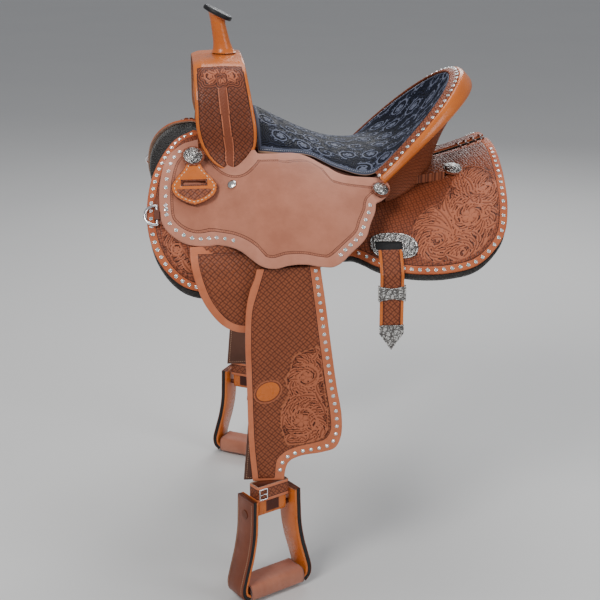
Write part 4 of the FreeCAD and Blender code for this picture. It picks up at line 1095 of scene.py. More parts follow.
def horn():
    tilt = math.radians(27)
    normal = np.array([math.sin(tilt), 0, math.cos(tilt)])
    top = np.array([-156.5, 0, 342.5])
    under = top - normal * 10
    base = np.array([-148.6, 0, 262.8])
    piece = Piece()
    rings, seg = [], 64
    for t in np.linspace(0, 1, 60):
        centre = base + (under - normal * 0.4 - base) * t
        tip = np.array([0, 0, 1.0]) * (1 - t) + normal * t
        tip /= np.linalg.norm(tip)
        side = np.array([0, 1.0, 0])
        ahead = np.cross(side, tip)
        r = 16.2 + 7.6 * math.exp(-t / 0.13) + 3.0 * math.exp(-(1 - t) / 0.07)
        a = around(seg)
        wrap = 0.35 * np.abs(np.sin((t * 7.0 - a / (2 * math.pi)) * math.pi)) ** 0.35
        rr = r + wrap - 0.4
        rings.append(centre + np.outer(rr * np.cos(a), ahead) + np.outer(rr * np.sin(a), side))
    tube(piece, rings, "orange")
    piece.make("horn_wrap", "root", ["horn_wrap"])
    cap = Piece()
    profile = [(25.5, 0.2), (28.2, 0.6), (29.4, 2.0), (29.5, 5.0), (29.0, 7.6), (27.0, 9.3), (24.5, 9.2),
               (23.6, 8.7), (22.8, 9.3), (16, 9.8), (8, 9.9), (1.5, 9.95)]

    def beading(r, a):
        return 0.12 * math.sin(a * 40) if 0.9 < r < 0.97 else 0.0

    disc(cap, under, normal, profile, "black", beading)
    face = OnPlane(under, np.cross([0, 1.0, 0], normal), [0, 1, 0], normal)
    a = np.arange(0, 2 * math.pi, 2 * math.pi / 46)
    lace_r = 26.0
    spots = np.stack([lace_r * np.cos(a), lace_r * np.sin(a)], 1)
    ahead = np.stack([lace_r * np.cos(a + 0.02), lace_r * np.sin(a + 0.02)], 1)
    stitches(cap, spots, ahead, face, 9.3, "silver_lace", 2.4, 0.4)
    cap.make("horn_cap", "root", ["horn_cap"])


# ---------------------------------------------------------------- cantle
CORNER, CREST, HALF = np.array([125.0, 0, 56.0]), np.array([293.0, 0, 217.0]), 165.0
RISE = CREST - CORNER
RISE_LENGTH = np.linalg.norm(RISE)
RISE = RISE / RISE_LENGTH
RIM_UP = np.array([-RISE[2], 0, RISE[0]])


def rim(angle):
    """Point on the cantle's rim, and the direction outward, at an angle from the crest."""
    point = CORNER + RISE * RISE_LENGTH * math.cos(angle) + np.array([0, -HALF * math.sin(angle), 0])
    out = RISE * math.cos(angle) / RISE_LENGTH + np.array([0, -math.sin(angle) / HALF, 0])
    return point, out / np.linalg.norm(out)


def roll_depth(angle):
    """How far the roll reaches down behind the rim."""
    return 36.0 + 34.0 * math.cos(angle) ** 2


def rim_sweep(piece, profile, mat, count, reach=90.0):
    """Tube along the rim; profile(depth of the roll, angle) gives its (outward, up) section."""
    sections = []
    for a in np.linspace(-math.radians(reach), math.radians(reach), count):
        point, out = rim(a)
        sections.append([point + out * r + RIM_UP * h for r, h in profile(roll_depth(a), a)])
    tube(piece, sections, mat)


def rounded(corners, step):
    return [tuple(p) for p in spline(corners, step, closed=True)]


class OnFacing:
    """The tooled front face of the cantle: u is the angle from the crest, v the distance out."""

    def __call__(self, uv):
        points, normals = [], []
        for a, r in uv:
            point, out = rim(a)
            n = RIM_UP * 0.92 + out * 0.39
            points.append(point + out * r + RIM_UP * (-0.42 * r + 0.1))
            normals.append(n / np.linalg.norm(n))
        return np.array(points), np.array(normals)


def cantle_facing():
    facing = Piece()

    def profile(_, a):
        ripple = 0.25 * math.sin(a * 90) * abs(math.sin(a * 41))
        return [(0.4, -1.2), (1.6, 0.1), (4.0, -0.9), (7.0, -2.1 + ripple), (10.0, -3.5 - ripple),
                (13.0, -4.9), (14.2, -6.2), (15.2, -5.7), (18.0, -7.1), (18.9, -8.2), (17.2, -10.6),
                (9.0, -8.4), (1.0, -5.2), (0.4, -4.0)]

    rim_sweep(facing, profile, "basket", 220)
    arc = [-math.radians(88)]
    while arc[-1] < math.radians(88):
        here, ahead = rim(arc[-1])[0], rim(arc[-1] + 0.01)[0]
        arc.append(arc[-1] + 14.4 / (np.linalg.norm(ahead - here) / 0.01))
    crystals(facing, [(a, 15.6) for a in arc], OnFacing(), 0.0, STONE)
    small = np.arange(-1.5, 1.5, 0.021)
    spots, ahead = np.stack([small, 0 * small + 3.2], 1), np.stack([small + 0.002, 0 * small + 3.2], 1)
    stitches(facing, spots, ahead, OnFacing(), 0.1, "thread", 2.2, 0.35)
    facing.make("cantle_facing", "root", ["cantle_facing"])


ROLL_SHARE = 0.70


def cheyenne_roll():
    roll = Piece()

    def profile(d, _):
        low = ROLL_SHARE * d
        loop = np.array(rounded([(19.2, -8.6), (22.8, -10.2), (25.2, -15.0), (25.6, -0.6 * low),
                                 (24.6, -0.8 * low), (21.2, -0.95 * low), (17.0, -low), (15.5, -low + 3.0),
                                 (15.6, -0.6 * low), (15.6, -14.5), (17.2, -11.6)], 3.0))
        girth = run_of(np.vstack([even(loop, 2.0), even(loop, 2.0)[:1]]))[-1]
        return even(loop, girth / 48.0)[:48]

    rim_sweep(roll, profile, "orange", 150)
    roll.make("cheyenne_roll", "root", ["cheyenne_roll"])


def tree_cantle():
    core = Piece()

    def profile(d, _):
        return [(1, -7), (15, -13.5), (14, -0.68 * d + 3), (2, -0.68 * d + 5)]

    rim_sweep(core, profile, "wood", 60, 88)
    core.make("tree_cantle", "root", ["tree_cantle"])


def cantle_back():
    """Leather from the roll down to the skirts."""
    back = Piece()
    on_skirt = BACK_RADIUS + 17.6
    sections = []
    for a in np.linspace(-math.radians(87), math.radians(87), 110):
        point, out = rim(a)
        top = point + out * 15.2 + RIM_UP * (4.0 - ROLL_SHARE * roll_depth(a))
        inward = np.array([-out[0], -out[1], 0])
        inward /= np.linalg.norm(inward)
        foot = top + inward * (26.0 + 62.0 * math.cos(a) ** 2)
        yc, zc = back_centre(foot[0])
        foot[2] = zc + math.sqrt(on_skirt ** 2 - (abs(foot[1]) + yc) ** 2) + 1.5
        t = np.linspace(0, 1, 14)[:, None]
        line = top * (1 - t) + foot * t + inward * np.sin(np.pi * t) * 9.0
        sections.append(np.vstack([line, line[::-1] + inward * 3.0]))
    tube(back, sections, "basket")
    back.make("cantle_back", "root", ["cantle_back"])


# ---------------------------------------------------------------- seat
# stations: x, half width, height of the edge, height of the middle
SEAT = np.array([(-93, 128, 95, 158), (-50, 130, 93, 134), (5, 112, 84, 107), (60, 140, 62, 88),
                 (118, 158, 54, 84), (165, 159, 92, 88), (205, 144, 130, 108), (248, 110, 171, 148),
                 (281, 60, 203, 194), (290.5, 27, 213, 208), (293, 9, 216.5, 215.5)], float)


def natural(x, xs, ys):
    """Smooth curve through the stations."""
    fine = spline(np.stack([xs, ys], 1), 2.0)
    return np.interp(x, fine[:, 0], fine[:, 1])


def seat():
    """Padded seat cover: a grid along x (rows) and across the seat (columns, -1..1)."""
    front_x = SEAT[0, 0]
    x = np.arange(front_x, SEAT[-1, 0], 1.55)
    f = np.linspace(-1, 1, 217)
    f = f * 0.55 + np.sin(f * math.pi / 2 * 0.999) * 0.45
    half, edge, mid = [natural(x, SEAT[:, 0], SEAT[:, k]) for k in (1, 2, 3)]
    fade = np.clip((140 - x) / 60, 0, 1) * np.clip((x - front_x) / 30, 0, 1)
    half = half + 4.0 * np.sin((x - front_x) / 34.0) * fade
    X = x[:, None] * np.ones(len(f))
    F = f[None] * np.ones(len(x))[:, None]
    Y = F * half[:, None]
    G = 1 - 0.92 * F ** 2 - 0.08 * F ** 6
    Z = edge[:, None] + (mid - edge)[:, None] * G
    c = Carving(1.0)
    place = np.random.default_rng(11)
    for row, cx in enumerate(np.arange(-70, 285, 44)):
        for k, cy in enumerate(np.arange(-150, 151, 50)):
            spot = (cx + (22 if k % 2 else 0), cy + place.uniform(-3, 3))
            sign = 1 if (row + k) % 2 else -1
            c.scroll(spot, 19, place.uniform(0, 6.28), 1.25, sign, 7, flower=(row + k) % 3 > 0)
    cloud = np.stack([X.ravel(), Y.ravel() * 1.05], 1)
    relief = np.concatenate([c(cloud[i:i + 6000]) for i in range(0, len(cloud), 6000)])
    relief = relief.reshape(X.shape)
    from_edge = np.minimum((1 - np.abs(F)) * half[:, None], np.minimum(X - front_x, 400.0))
    border = np.clip((from_edge - 6) / 2.5, 0, 1)
    relief = relief * border + 0.3 * (1 - border)
    puff = 2.2 * np.clip(from_edge / 16, 0, 1) ** 0.5
    roll_off = 3.2 * np.clip(1 - from_edge / 4.5, 0, 1) ** 2
    dx = np.gradient(Z, x, axis=0)
    dy = np.gradient(Z, axis=1) / np.maximum(np.abs(np.gradient(Y, axis=1)), 1e-3)
    n = np.stack([-dx, -dy, np.ones_like(Z)], 2)
    n /= np.linalg.norm(n, axis=2)[..., None]
    top = np.stack([X, Y, Z], 2) + n * (relief * 0.75 + puff - 1.2 - roll_off)[..., None]
    thick = 4.5 + 10.5 * np.clip((from_edge - 4) / 18, 0, 1)
    low = np.stack([X, Y, Z - thick], 2)
    rows, cols = X.shape
    piece = Piece()
    slab(piece, top, low, ["seat"] * ((rows - 1) * (cols - 1)), "flesh", "black",
         np.stack([X.ravel(), Y.ravel()], 1),
         np.concatenate([carve_level(relief, 1.0).ravel(), np.ones(rows * cols)]))
    for j in (3, cols - 4):
        line = top[:, j]
        run = run_of(line)
        at = np.arange(2, run[-1] - 2, 4.2)
        spots = np.stack([np.interp(at, run, np.arange(rows)), np.full(len(at), float(j))], 1)

        def follow(uvs, line=line, j=j):
            p = np.stack([np.interp(uvs[:, 0], np.arange(rows), line[:, k]) for k in range(3)], 1)
            nn = np.stack([np.interp(uvs[:, 0], np.arange(rows), n[:, j, k]) for k in range(3)], 1)
            return p, nn

        stitches(piece, spots, spots + [0.3, 0], follow, 0.25, "silver_lace", 2.8, 0.5)
    pad = piece.make("seat_cover", "root", ["seat_cover", "seat_foam"])


# ---------------------------------------------------------------- fender, leathers, flap
FENDER = [
    [(-111, -84), (-115, -101.5), (-124, -125), (-131, -160), (-133.5, -215), (-131.5, -320), (-129, -430),
     (-123, -505)],
    [(-123, -505), (-63, -505)],
    [(-63, -505), (-61, -486), (-54, -468), (-33, -457), (9, -451), (34, -443), (45, -421), (46.5, -380),
     (36, -315), (25, -235), (13, -142), (7, -101.5), (4, -80)],
    [(4, -80), (-111, -84)],
]


def fender():
    surface = OnProfile([(-309.0, -70), (-308.6, -100), (-308.2, -150), (-308.2, -300), (-308.2, -520)])
    thick = 4.6
    inner = spline([(-96, -78), (-108, -120), (-119.5, -160), (-122.8, -215), (-121.5, -320), (-118.5, -430),
                    (-112.5, -500)], 2.5)
    outer = spline([(-15, -78), (-12, -101.5), (-6.5, -142), (5, -235), (16, -315), (25.5, -380),
                    (25, -409), (15, -424), (-6, -430.5), (-36, -436.5), (-60, -446), (-76, -462),
                    (-80, -486), (-81, -500)], 2.5)
    loop = even(ccw(surface.flat(outline(FENDER, 2.2))), 2.2)
    field = even(surface.flat(np.vstack([inner, outer[::-1]])), 2.0)
    panel = surface.flat(spline([(3, -239), (-20, -243), (-44, -256), (-50, -278), (-59, -300), (-53, -327),
                                 (-66, -357), (-69, -389), (-63, -412), (-56, -430), (-30, -430), (0, -424),
                                 (16, -412), (20, -388), (16, -345), (9, -290)], 2.5, closed=True))
    oval = np.array([(-92.7 + 21.5 * math.cos(a) * 0.98 + 5 * math.sin(a), -322.5 + 19 * math.sin(a))
                     for a in np.arange(0, 2 * math.pi, 0.12)])
    oval, ring = surface.flat(oval), surface.flat((oval - oval.mean(0)) * 1.17 + oval.mean(0))
    c = Carving(1.0)

    def at(x, z):
        return surface.flat([(x, z)])[0]

    c.fill(panel, 19.0, [at(-29, -383), at(-20, -296), at(-2, -392)])
    c.scroll(at(-29, -383), 31, 1.9, 1.15, -1, 8)
    c.scroll(at(-20, -296), 25, 4.4, 1.1, 1, 7)
    c.scroll(at(-2, -392), 12, 0.3, 1.4, 1, 3, flower=False)
    for root, tip, bend in (((-12, -262), (0, -244), 0.2), ((-24, -262), (-40, -258), -0.2),
                            ((-36, -300), (-54, -302), 0.2), ((-36, -316), (-50, -322), 0.2),
                            ((8, -340), (-40, -336), 0.22), ((10, -352), (-4, -320), -0.2),
                            ((14, -372), (2, -345), 0.2), ((12, -400), (6, -418), 0.2),
                            ((-50, -410), (-58, -424), 0.2), ((-34, -416), (-20, -426), -0.2),
                            ((-2, -310), (6, -334), 0.2), ((-62, -370), (-66, -396), 0.1)):
        c.leaf(at(*root), at(*tip), 4.6, bend)

    def relief(q, d):
        height = np.zeros(len(q))
        inner = inside(q, panel)
        height[inner] = c(q[inner])
        rim_d = to_line(q, panel)
        height = np.where(rim_d < 1.3, 0.55, np.where((rim_d < 2.4) & ~inner, -0.7, height))
        height = np.where(to_line(q, field) < 0.7, -1.0, height)
        ring_d = to_line(q, ring)
        height = np.where(ring_d < 0.8, 0.5, height)
        height = np.where(to_line(q, oval) < 0.8, -0.8, height)
        return height, carve_level(height, 1.0)

    def zone(q, d):
        in_field = inside(q, field)
        near = to_line(q, field)
        names = np.where(in_field, "basket", "border")
        names = np.where(in_field & inside(q, panel), "carved", names)
        names = np.where(inside(q, oval), "orange", names)
        ring_area = inside(q, ring) & ~inside(q, oval)
        names = np.where(ring_area, "carved", names)
        return np.where(in_field & (near < 1.1), "dark_line", names).tolist()

    piece = Piece()
    sheet(piece, loop, surface, thick, zone, "flesh", "border",
          (field, inset(ccw(field), 1.3), oval, ring, inset(ccw(panel), 0.4)), spacing=4.2,
          fine=(lambda q: inside(q, panel), 1.3), relief=relief, edge=1.3)
    spots, ahead = line_points(even(inset(ccw(field), 4.2), 1.0), 4.2, True)
    stitches(piece, spots, ahead, surface, thick - 0.2, "red_thread", 3.0, 0.6)
    row = spline([(-5, -86), (-2.5, -101.5), (3, -142), (15, -235), (26, -315), (36.5, -380), (35, -415),
                  (26, -434), (6, -441), (-34, -447.5), (-57, -457), (-69, -474), (-72, -496)], 1.0)
    spots, _ = line_points(surface.flat(row), 15.6, start=3)
    crystals(piece, spots, surface, thick, STONE)
    made = piece.pair("fender", "")
    for obj, side, y in zip(made, ("left", "right"), (-0.309, 0.309)):
        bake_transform(obj)
        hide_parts("fender_" + side)


LEATHER_SLOPE = 0.084
LEATHER_HALF = 37.5


def leather_x(z):
    """Middle of the stirrup leather at a height."""
    return -68.0 + (z + 97.0) * LEATHER_SLOPE


def four_sided(corners, step):
    """A closed outline with straight sides."""
    return outline([[a, b] for a, b in zip(corners, corners[1:] + corners[:1])], step)


def stirrup_leathers():
    surface = OnProfile([(-301.6, -84), (-301.6, -300), (-301.6, -515)])
    top, low = -101, -504
    corners = [(leather_x(z) + side * LEATHER_HALF, z)
               for z, side in ((top, -1), (low, -1), (low, 1), (top, 1))]
    loop = even(ccw(surface.flat(four_sided(corners, 3.0))), 3.0)
    slope = math.atan(LEATHER_SLOPE)
    holes = []
    for row in range(7):
        for side in (-1, 1):
            along_s, across = 60 - row * 30, side * 22
            x = leather_x(-290) + across * math.cos(slope) + along_s * math.sin(slope)
            z = -290 - across * math.sin(slope) + along_s * math.cos(slope)
            holes.append(surface.flat([(x + 4.4 * math.cos(a), z + 4.4 * math.sin(a))
                                       for a in np.arange(0, 2 * math.pi, 0.4)]))
    piece = Piece()
    sheet(piece, loop, surface, 5.7, one("strap"), "strap", "strap", holes=holes, spacing=6.0, edge=1.2)
    spots, ahead = line_points(even(inset(loop, 4.5), 1.0), 4.6, True)
    for lift in (5.7, -0.15):
        stitches(piece, spots, ahead, surface, lift, "thread", 3.2, 0.45)
    piece.pair("stirrup_leather", "fender_*", ["stirrup_leather_*"])

    hanger = Piece()
    up = OnProfile([(-301.6, -80), (-301.6, -90), (-301.6, -103)])
    corners = [(-97.5, -84.3), (-97.5, -99), (-38.5, -99), (-38.5, -84.3)]
    loop = ccw(even(up.flat(four_sided(corners, 2.0)), 2.0))
    sheet(hanger, loop, up, 5.6, one("strap"), "strap", "strap", spacing=4.0, edge=1.0)
    hanger.pair("leather_hanger", "leather_hanger_*", ["leather_hanger_*"])


def rigging_flaps():
    surface = OnProfile([(-257.5, -35), (-272.3, -60), (-286.3, -85), (-293.2, -108), (-297.1, -129),
                         (-297.3, -150), (-297.3, -215)])
    runs = [[(-229.5, -51.5), (-229, -75), (-222, -108), (-204, -154), (-175, -192), (-150, -206),
             (-131, -209)],
            [(-131, -209), (-60, -209)], [(-60, -209), (-8, -170)], [(-8, -170), (-8, -51.5)],
            [(-8, -51.5), (-229.5, -51.5)]]
    loop = even(ccw(surface.flat(outline(runs, 2.4))), 2.4)
    hole = surface.flat(four_sided([(-115, -189), (-53, -189), (-53, -169), (-115, -169)], 3.0))
    border, groove = inset(loop, 14.0), inset(loop, 17.5)
    border_in = inset(loop, 15.2)

    def relief(p, d):
        height = np.where(np.abs(d - 14) < 0.8, -0.8, np.where(np.abs(d - 17.5) < 0.7, -0.4, 0.0))
        return height, carve_level(height, 1.0)

    def zone(p, d):
        x, z = p[:, 0], surface(p)[0][:, 2]
        shown = (x < -60) & (x + 229.5 < (z + 51.5) * -1.6 + 22)
        kinds = np.where(d < 14.0, "border", np.where(d < 15.2, "dark_line", "basket"))
        return np.where(shown, kinds, "basket").tolist()

    piece = Piece()
    sheet(piece, loop, surface, 3.3, zone, "flesh", "border", (border, border_in, groove), [hole],
          spacing=4.5, relief=relief, edge=1.2)
    spots, ahead = line_points(even(groove, 1.0), 4.2, True)
    stitches(piece, spots, ahead, surface, 3.0, "red_thread", 2.8, 0.4)
    left = piece.pair("rigging_flap")[0]
    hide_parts("rigging_flaps")


# ---------------------------------------------------------------- front and rear fittings
def keeper_frame():
    """Where the latigo keeper hangs: its pivot, the way it faces and the way it hangs down."""
    x, y = -217.0, -201.0
    yc, zc = [float(k) for k in back_centre(x)]
    radius = BACK_RADIUS + SKIRT_TOP + 0.3 + JOCKEY
    z = zc + math.sqrt(radius ** 2 - (y - yc) ** 2)
    n = np.array([0, y - yc, z - zc])
    n /= np.linalg.norm(n)
    touch = np.array([x, y, z]) + n * 2.0
    down = np.array([0, -n[2], n[1]])
    return touch + down * ((-156.0 - touch[1]) / down[1]), n, down


def latigo_keeper():
    pivot, n, down = keeper_frame()
    face = OnPlane(pivot + n * 1.4, [-1, 0, 0], down, n)
    half = [(0, -17), (14, -12), (17, 4), (15, 20), (30, 42), (42, 62), (38, 82), (20, 98), (0, 106)]
    loop = np.vstack([spline(half, 1.5), spline([(-a, b) for a, b in half], 1.5)[::-1][1:-1]])
    loop = ccw(even(loop, 1.8))
    slot = ccw(even(np.array([(-21, 54), (21, 54), (21, 61), (-21, 61)], float), 2.0))
    border = inset(loop, 9.0)
    # The collar round the strap slot is painted dark as the slot's shade.
    painted_shade_collar = ccw(even(np.array([(-24.5, 50.5), (24.5, 50.5), (24.5, 64.5), (-24.5, 64.5)], float), 2.0))

    def zone(p, d):
        low = (p[:, 1] > 72) & (d > 9)
        # painted shade: the collar round the slot is given the dark line leather
        top = np.where(inside(p, painted_shade_collar), "dark_line", np.where(low, "basket", "orange"))
        return np.where(d < 2.0, "brown", top).tolist()

    def relief(p, d):
        h = np.where(np.abs(to_line(p, painted_shade_collar)) < 0.8, -0.7, np.where(np.abs(d - 2.2) < 0.6, -0.4, 0.0))
        return h, carve_level(h, 1.0)

    piece = Piece()
    sheet(piece, loop, face, 3.2, zone, "flesh", "brown", (border, painted_shade_collar), [slot], spacing=3.5,
          relief=relief, edge=1.2)
    spots, ahead = line_points(even(inset(loop, 6.0), 1.0), 8.0, True)
    stitches(piece, spots, ahead, face, 2.8, "white_lace", 5.2, 1.0)
    piece.pair("latigo_keeper", "latigo_keeper_*", ["latigo_keeper_*"])


def concho(piece, point, normal, leather_r, disc_r, dome):
    """A scalloped leather rosette with an engraved silver dome on it."""
    def petals(r, a):
        return (0.7 * abs(math.sin(a * 6)) - 0.5) if r > 0.72 else 0.0

    def scallop(a):
        return -0.05 * abs(math.cos(a * 6)) ** 3

    rosette = [(leather_r, 0.0), (leather_r, 1.2), (leather_r * 0.97, 1.7), (leather_r * 0.86, 1.9),
               (leather_r * 0.74, 1.9), (leather_r * 0.70, 1.4), (disc_r * 0.9, 1.4)]
    disc(piece, point, normal, rosette, "brown", petals, 96, scallop)

    def engraving(r, a):
        if r > 0.93:
            return 0.25 * abs(math.sin(a * 24))
        if r > 0.84:
            return -0.25
        if r > 0.42:
            return 0.35 * math.cos(a * 8 + r * 14) * math.sin((r - 0.42) * 7.4)
        if r > 0.34:
            return -0.3
        return 0.25 * math.cos(a * 6) * r * 2

    def antique(r, a):
        if 0.84 < r < 0.93 or 0.34 < r < 0.42:
            return 0.1
        return 0.3 + 0.7 * (math.cos(a * 8 + r * 14) > -0.1) if 0.42 <= r <= 0.84 else 1.0

    rows = [(disc_r, 1.6), (disc_r, 2.6), (disc_r * 0.985, 3.0)]
    rows += [(disc_r * k, 3.0 + dome * (1 - k * k)) for k in np.linspace(0.95, 0.02, 34)]
    disc(piece, point, normal, rows, "silver", engraving, 144, carve=antique)


def jockey_spot(surface, x, y):
    """Point and normal on the jockey's outer face, from x and y."""
    def point(a, b):
        yc, zc, r = [float(k) for k in surface.arc(np.array(a))]
        return np.array([a, b, zc + math.sqrt((r + JOCKEY) ** 2 - (b - yc) ** 2)])

    n = np.cross(point(x + 4, y) - point(x - 4, y), point(x, y + 4) - point(x, y - 4))
    return point(x, y), n / np.linalg.norm(n)


def conchos():
    pivot, n, _ = keeper_frame()
    surface = OnJockey()
    rear_surface = OnBack(SKIRT_TOP + 0.8)
    (rear,), (rear_n,) = rear_surface(rear_surface.from_y(np.array([289.0]), np.array([-103.0])))
    middle, middle_n = jockey_spot(surface, 129.0, -202.5)
    piece = Piece()
    concho(piece, pivot + n * 4.4, n, 22.0, 17.5, 4.0)
    concho(piece, middle + middle_n * 3.5, middle_n, 18.5, 14.5, 4.0)
    concho(piece, rear, rear_n, 24.0, 18.5, 4.4)
    left = piece.pair("conchos")[0]
    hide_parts("conchos", "concho_rosettes")

    spot, spot_n = jockey_spot(surface, -147.3, -208.0)
    head_r = 9.0
    rows = [(head_r, 0.4), (head_r, 1.6), (8.6, 2.0)]
    rows += [(head_r * k, 2.0 + 2.2 * (1 - k * k)) for k in (0.9, 0.7, 0.5, 0.2, 0.03)]
    screw = Piece()
    disc(screw, spot + spot_n * 1.2, spot_n, rows, "bright_silver",
         lambda r, a: 0.2 * abs(math.sin(a * 10)) * (r > 0.8))
    screw.pair("saddle_screw_heads")


def dee_tab():
    surface = OnBack(SKIRT_TOP + 0.2)
    loop = surface.flat(spline([(-292, 12), (-290, 26), (-278, 30), (-264, 24), (-260, 10), (-262, -6),
                                (-272, -16), (-286, -12), (-292, -2)], 1.5, closed=True))
    loop = ccw(even(loop, 1.5))
    piece = Piece()
    sheet(piece, loop, surface, 3.6, one("brown"), "flesh", "dark_line", (inset(loop, 4.0),), spacing=3.0,
          relief=lambda p, d: (np.where(np.abs(d - 4) < 0.8, -0.6, 0.0), 1.0 + 0 * d), edge=1.2)
    (spot,), (n,) = surface(surface.flat([(-270, 8)]))
    rivet = [(5.2, 0), (5.2, 0.8), (4.6, 1.6), (3.0, 2.2), (1.2, 2.4)]
    disc(piece, spot + n * 3.4, n, rivet, "bright_silver", seg=40)
    piece.pair("dee_tab", "root")


def flank_plate():
    surface = OnBack(SKIRT_TOP + 0.3)
    rim_line = spline([(107, -70), (110, -58), (125, -52), (155, -50), (180, -53), (193, -62), (195, -72),
                       (185, -84), (145, -87), (115, -82)], 1.2, closed=True)
    loop = ccw(even(surface.flat(rim_line), 1.4))
    slot = ccw(even(surface.flat([(116.6, -62.2), (166, -62.2), (166, -74.8), (116.6, -74.8)]), 2.0))

    def relief(p, d):
        rope = 0.45 * np.abs(np.sin(p[:, 0] * 1.15 + p[:, 1] * 1.15)) - 0.1
        swirl = 0.3 * np.sin(p[:, 0] * 0.55 + 2.2 * np.sin(p[:, 1] * 0.5)) * np.sin(p[:, 1] * 0.8)
        h = np.where(d < 3.2, rope, np.where(d < 4.2, -0.5, swirl))
        return h, np.clip(0.75 + h * 1.6, 0, 1)

    piece = Piece()
    sheet(piece, loop, surface, 3.0, one("silver"), "steel", "bright_silver", holes=[slot], spacing=1.6,
          relief=relief, edge=0.8)
    # painted shade: a thin black sheet under the plate, seen only through the slot, stands in for the slot's
    # shade
    sheet(piece, inset(loop, 3.0), OnBack(SKIRT_TOP + 0.05), 0.25, one("black"), "black", "black",
          spacing=5.0, edge=0.1)
    left = piece.pair("flank_plate", "root")[0]
    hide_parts("flank_plates")


def billet():
    surface = OnProfile([(-252.5, -70), (-270, -88), (-284, -112), (-284.5, -120), (-284.5, -190),
                         (-284.5, -262)])
    mid, half = 141.3, 22.3
    corners = [(119, -73), (163.6, -73), (163.6, -222), (mid, -252), (119, -222)]
    loop = ccw(even(surface.flat(corners), 1.6))
    top_v, low_v = surface.flat([(0, -76), (0, -238)])[:, 1]
    grooves = []
    for side in (-1, 1):
        a, b = mid + side * 16.9, mid + side * 15.9
        grooves.append(ccw(even(np.array([(a, top_v), (b, top_v), (b, low_v), (a, low_v)]), 2.0)))

    def zone(p, d):
        in_from_side = half - np.abs(p[:, 0] - mid)
        inner = np.where(in_from_side < 6.4, "dark_line", "basket")
        return np.where(in_from_side < 5.4, "orange", inner).tolist()

    def relief(p, d):
        h = np.where(np.abs(half - np.abs(p[:, 0] - mid) - 5.9) < 0.7, -0.7, 0.0)
        return h, carve_level(h, 1.0)

    piece = Piece()
    sheet(piece, loop, surface, 4.9, zone, "flesh", "orange", grooves, spacing=3.0, relief=relief, edge=1.1)
    spots, ahead = line_points(even(inset(loop, 8.2), 1.0), 4.4, True)
    stitches(piece, spots, ahead, surface, 4.8, "red_thread", 3.0, 0.6)
    piece.pair("flank_billet", "flank_billet_*", ["flank_billet_*"])

    face = OnPlane([mid, -289.8, -232], [1, 0, 0], [0, 0, 1], [0, -1, 0])
    tip_loop = ccw(even(np.array([(-23.2, 25), (23.2, 25), (23.2, 8), (0, -24.8), (-23.2, 8)], float), 1.2))

    def engraved(p, d):
        rope = 0.3 * np.abs(np.sin(p[:, 0] * 1.3 + p[:, 1] * 1.3))
        swirl = 0.28 * np.sin(p[:, 0] * 0.6 + 2.4 * np.sin(p[:, 1] * 0.45)) * np.cos(p[:, 1] * 0.7)
        h = np.where(d < 2.6, rope, np.where(d < 3.5, -0.4, swirl))
        return h, np.clip(0.75 + h * 1.8, 0, 1)

    tip = Piece()
    sheet(tip, tip_loop, face, 1.5, one("silver"), "steel", "bright_silver", spacing=1.4,
          relief=engraved, edge=0.6)
    tip.pair("billet_tip", "flank_billet_*", ["billet_tip_*"])

    keeper = Piece()
    plate = OnPlane([mid, -289.95, -145.5], [1, 0, 0], [0, 0, 1], [0, -1, 0])
    reach = 25.6
    xs = np.linspace(-reach, reach, 42)
    waist = 10.5 + 5.0 * (np.abs(xs) / reach) ** 1.6
    loop = np.vstack([np.stack([xs, -waist], 1), np.stack([xs[::-1], waist], 1)])
    sheet(keeper, ccw(even(loop, 1.2)), plate, 2.6, one("silver"), "steel", "bright_silver", spacing=1.4,
          relief=engraved, edge=0.7)
    for side in (-1, 1):
        x0 = mid + side * 24.25
        section = [(x0 - 1.3, -290.2), (x0 + 1.3, -290.2), (x0 + 1.3, -281.8), (x0 - 1.3, -281.8)]
        tube(keeper, [[(a, b, z) for a, b in section] for z in (-159.5, -155, -136, -131.5)], "bright_silver")
    back = [(mid - 25.5, -284.0), (mid + 25.5, -284.0), (mid + 25.5, -281.8), (mid - 25.5, -281.8)]
    tube(keeper, [[(a, b, z) for a, b in back] for z in (-156, -150, -141, -135)], "steel")
    keeper.pair("billet_keeper", "billet_keeper_*", ["billet_keeper_*"])


# ---------------------------------------------------------------- stirrup
TURN = math.radians(30)


def placed(points):
    """From the stirrup's own frame to where it hangs, turned about the upright line."""
    p = np.asarray(points, float)
    x = p[..., 0] * math.cos(TURN) - p[..., 1] * math.sin(TURN) - 92.0
    y = p[..., 0] * math.sin(TURN) + p[..., 1] * math.cos(TURN) - 312.0
    return np.stack([x, y, p[..., 2]], -1)


def bell_line(grow):
    """One side of the bell seen from the front, from the bolt down to the tread, moved outwards."""
    half = [(52, -527), (53, -562), (55, -600), (62, -640), (73, -680), (79, -706), (76, -722), (66, -731)]
    line = spline(half, 2.0)
    tangent = np.gradient(line, axis=0)
    out = np.stack([-tangent[:, 1], tangent[:, 0]], 1)
    out /= np.linalg.norm(out, axis=1)[:, None]
    return line + out * grow


def branch(piece, low, high, depth, mat, edge=1.5, sign=1):
    """One side of the bell as a band between two growths, with rounded long edges."""
    half = depth / 2
    e = min(edge, abs(high - low) * 0.45)
    rings = []
    for p, q in zip(bell_line(low), bell_line(high)):
        t = np.linalg.norm(q - p)
        n = (q - p) / max(t, 1e-9)
        section = [(0, -half + e), (e * 0.4, -half + e * 0.2), (t / 2, -half), (t - e * 0.4, -half + e * 0.2),
                   (t, -half + e), (t + 0.25, 0), (t, half - e), (t - e * 0.4, half - e * 0.2),
                   (t / 2, half), (e * 0.4, half - e * 0.2), (0, half - e), (0, 0)]
        rings.append([(sign * (p[0] + n[0] * s), y, p[1] + n[1] * s) for s, y in section])
    tube(piece, placed(np.array(rings)), mat)


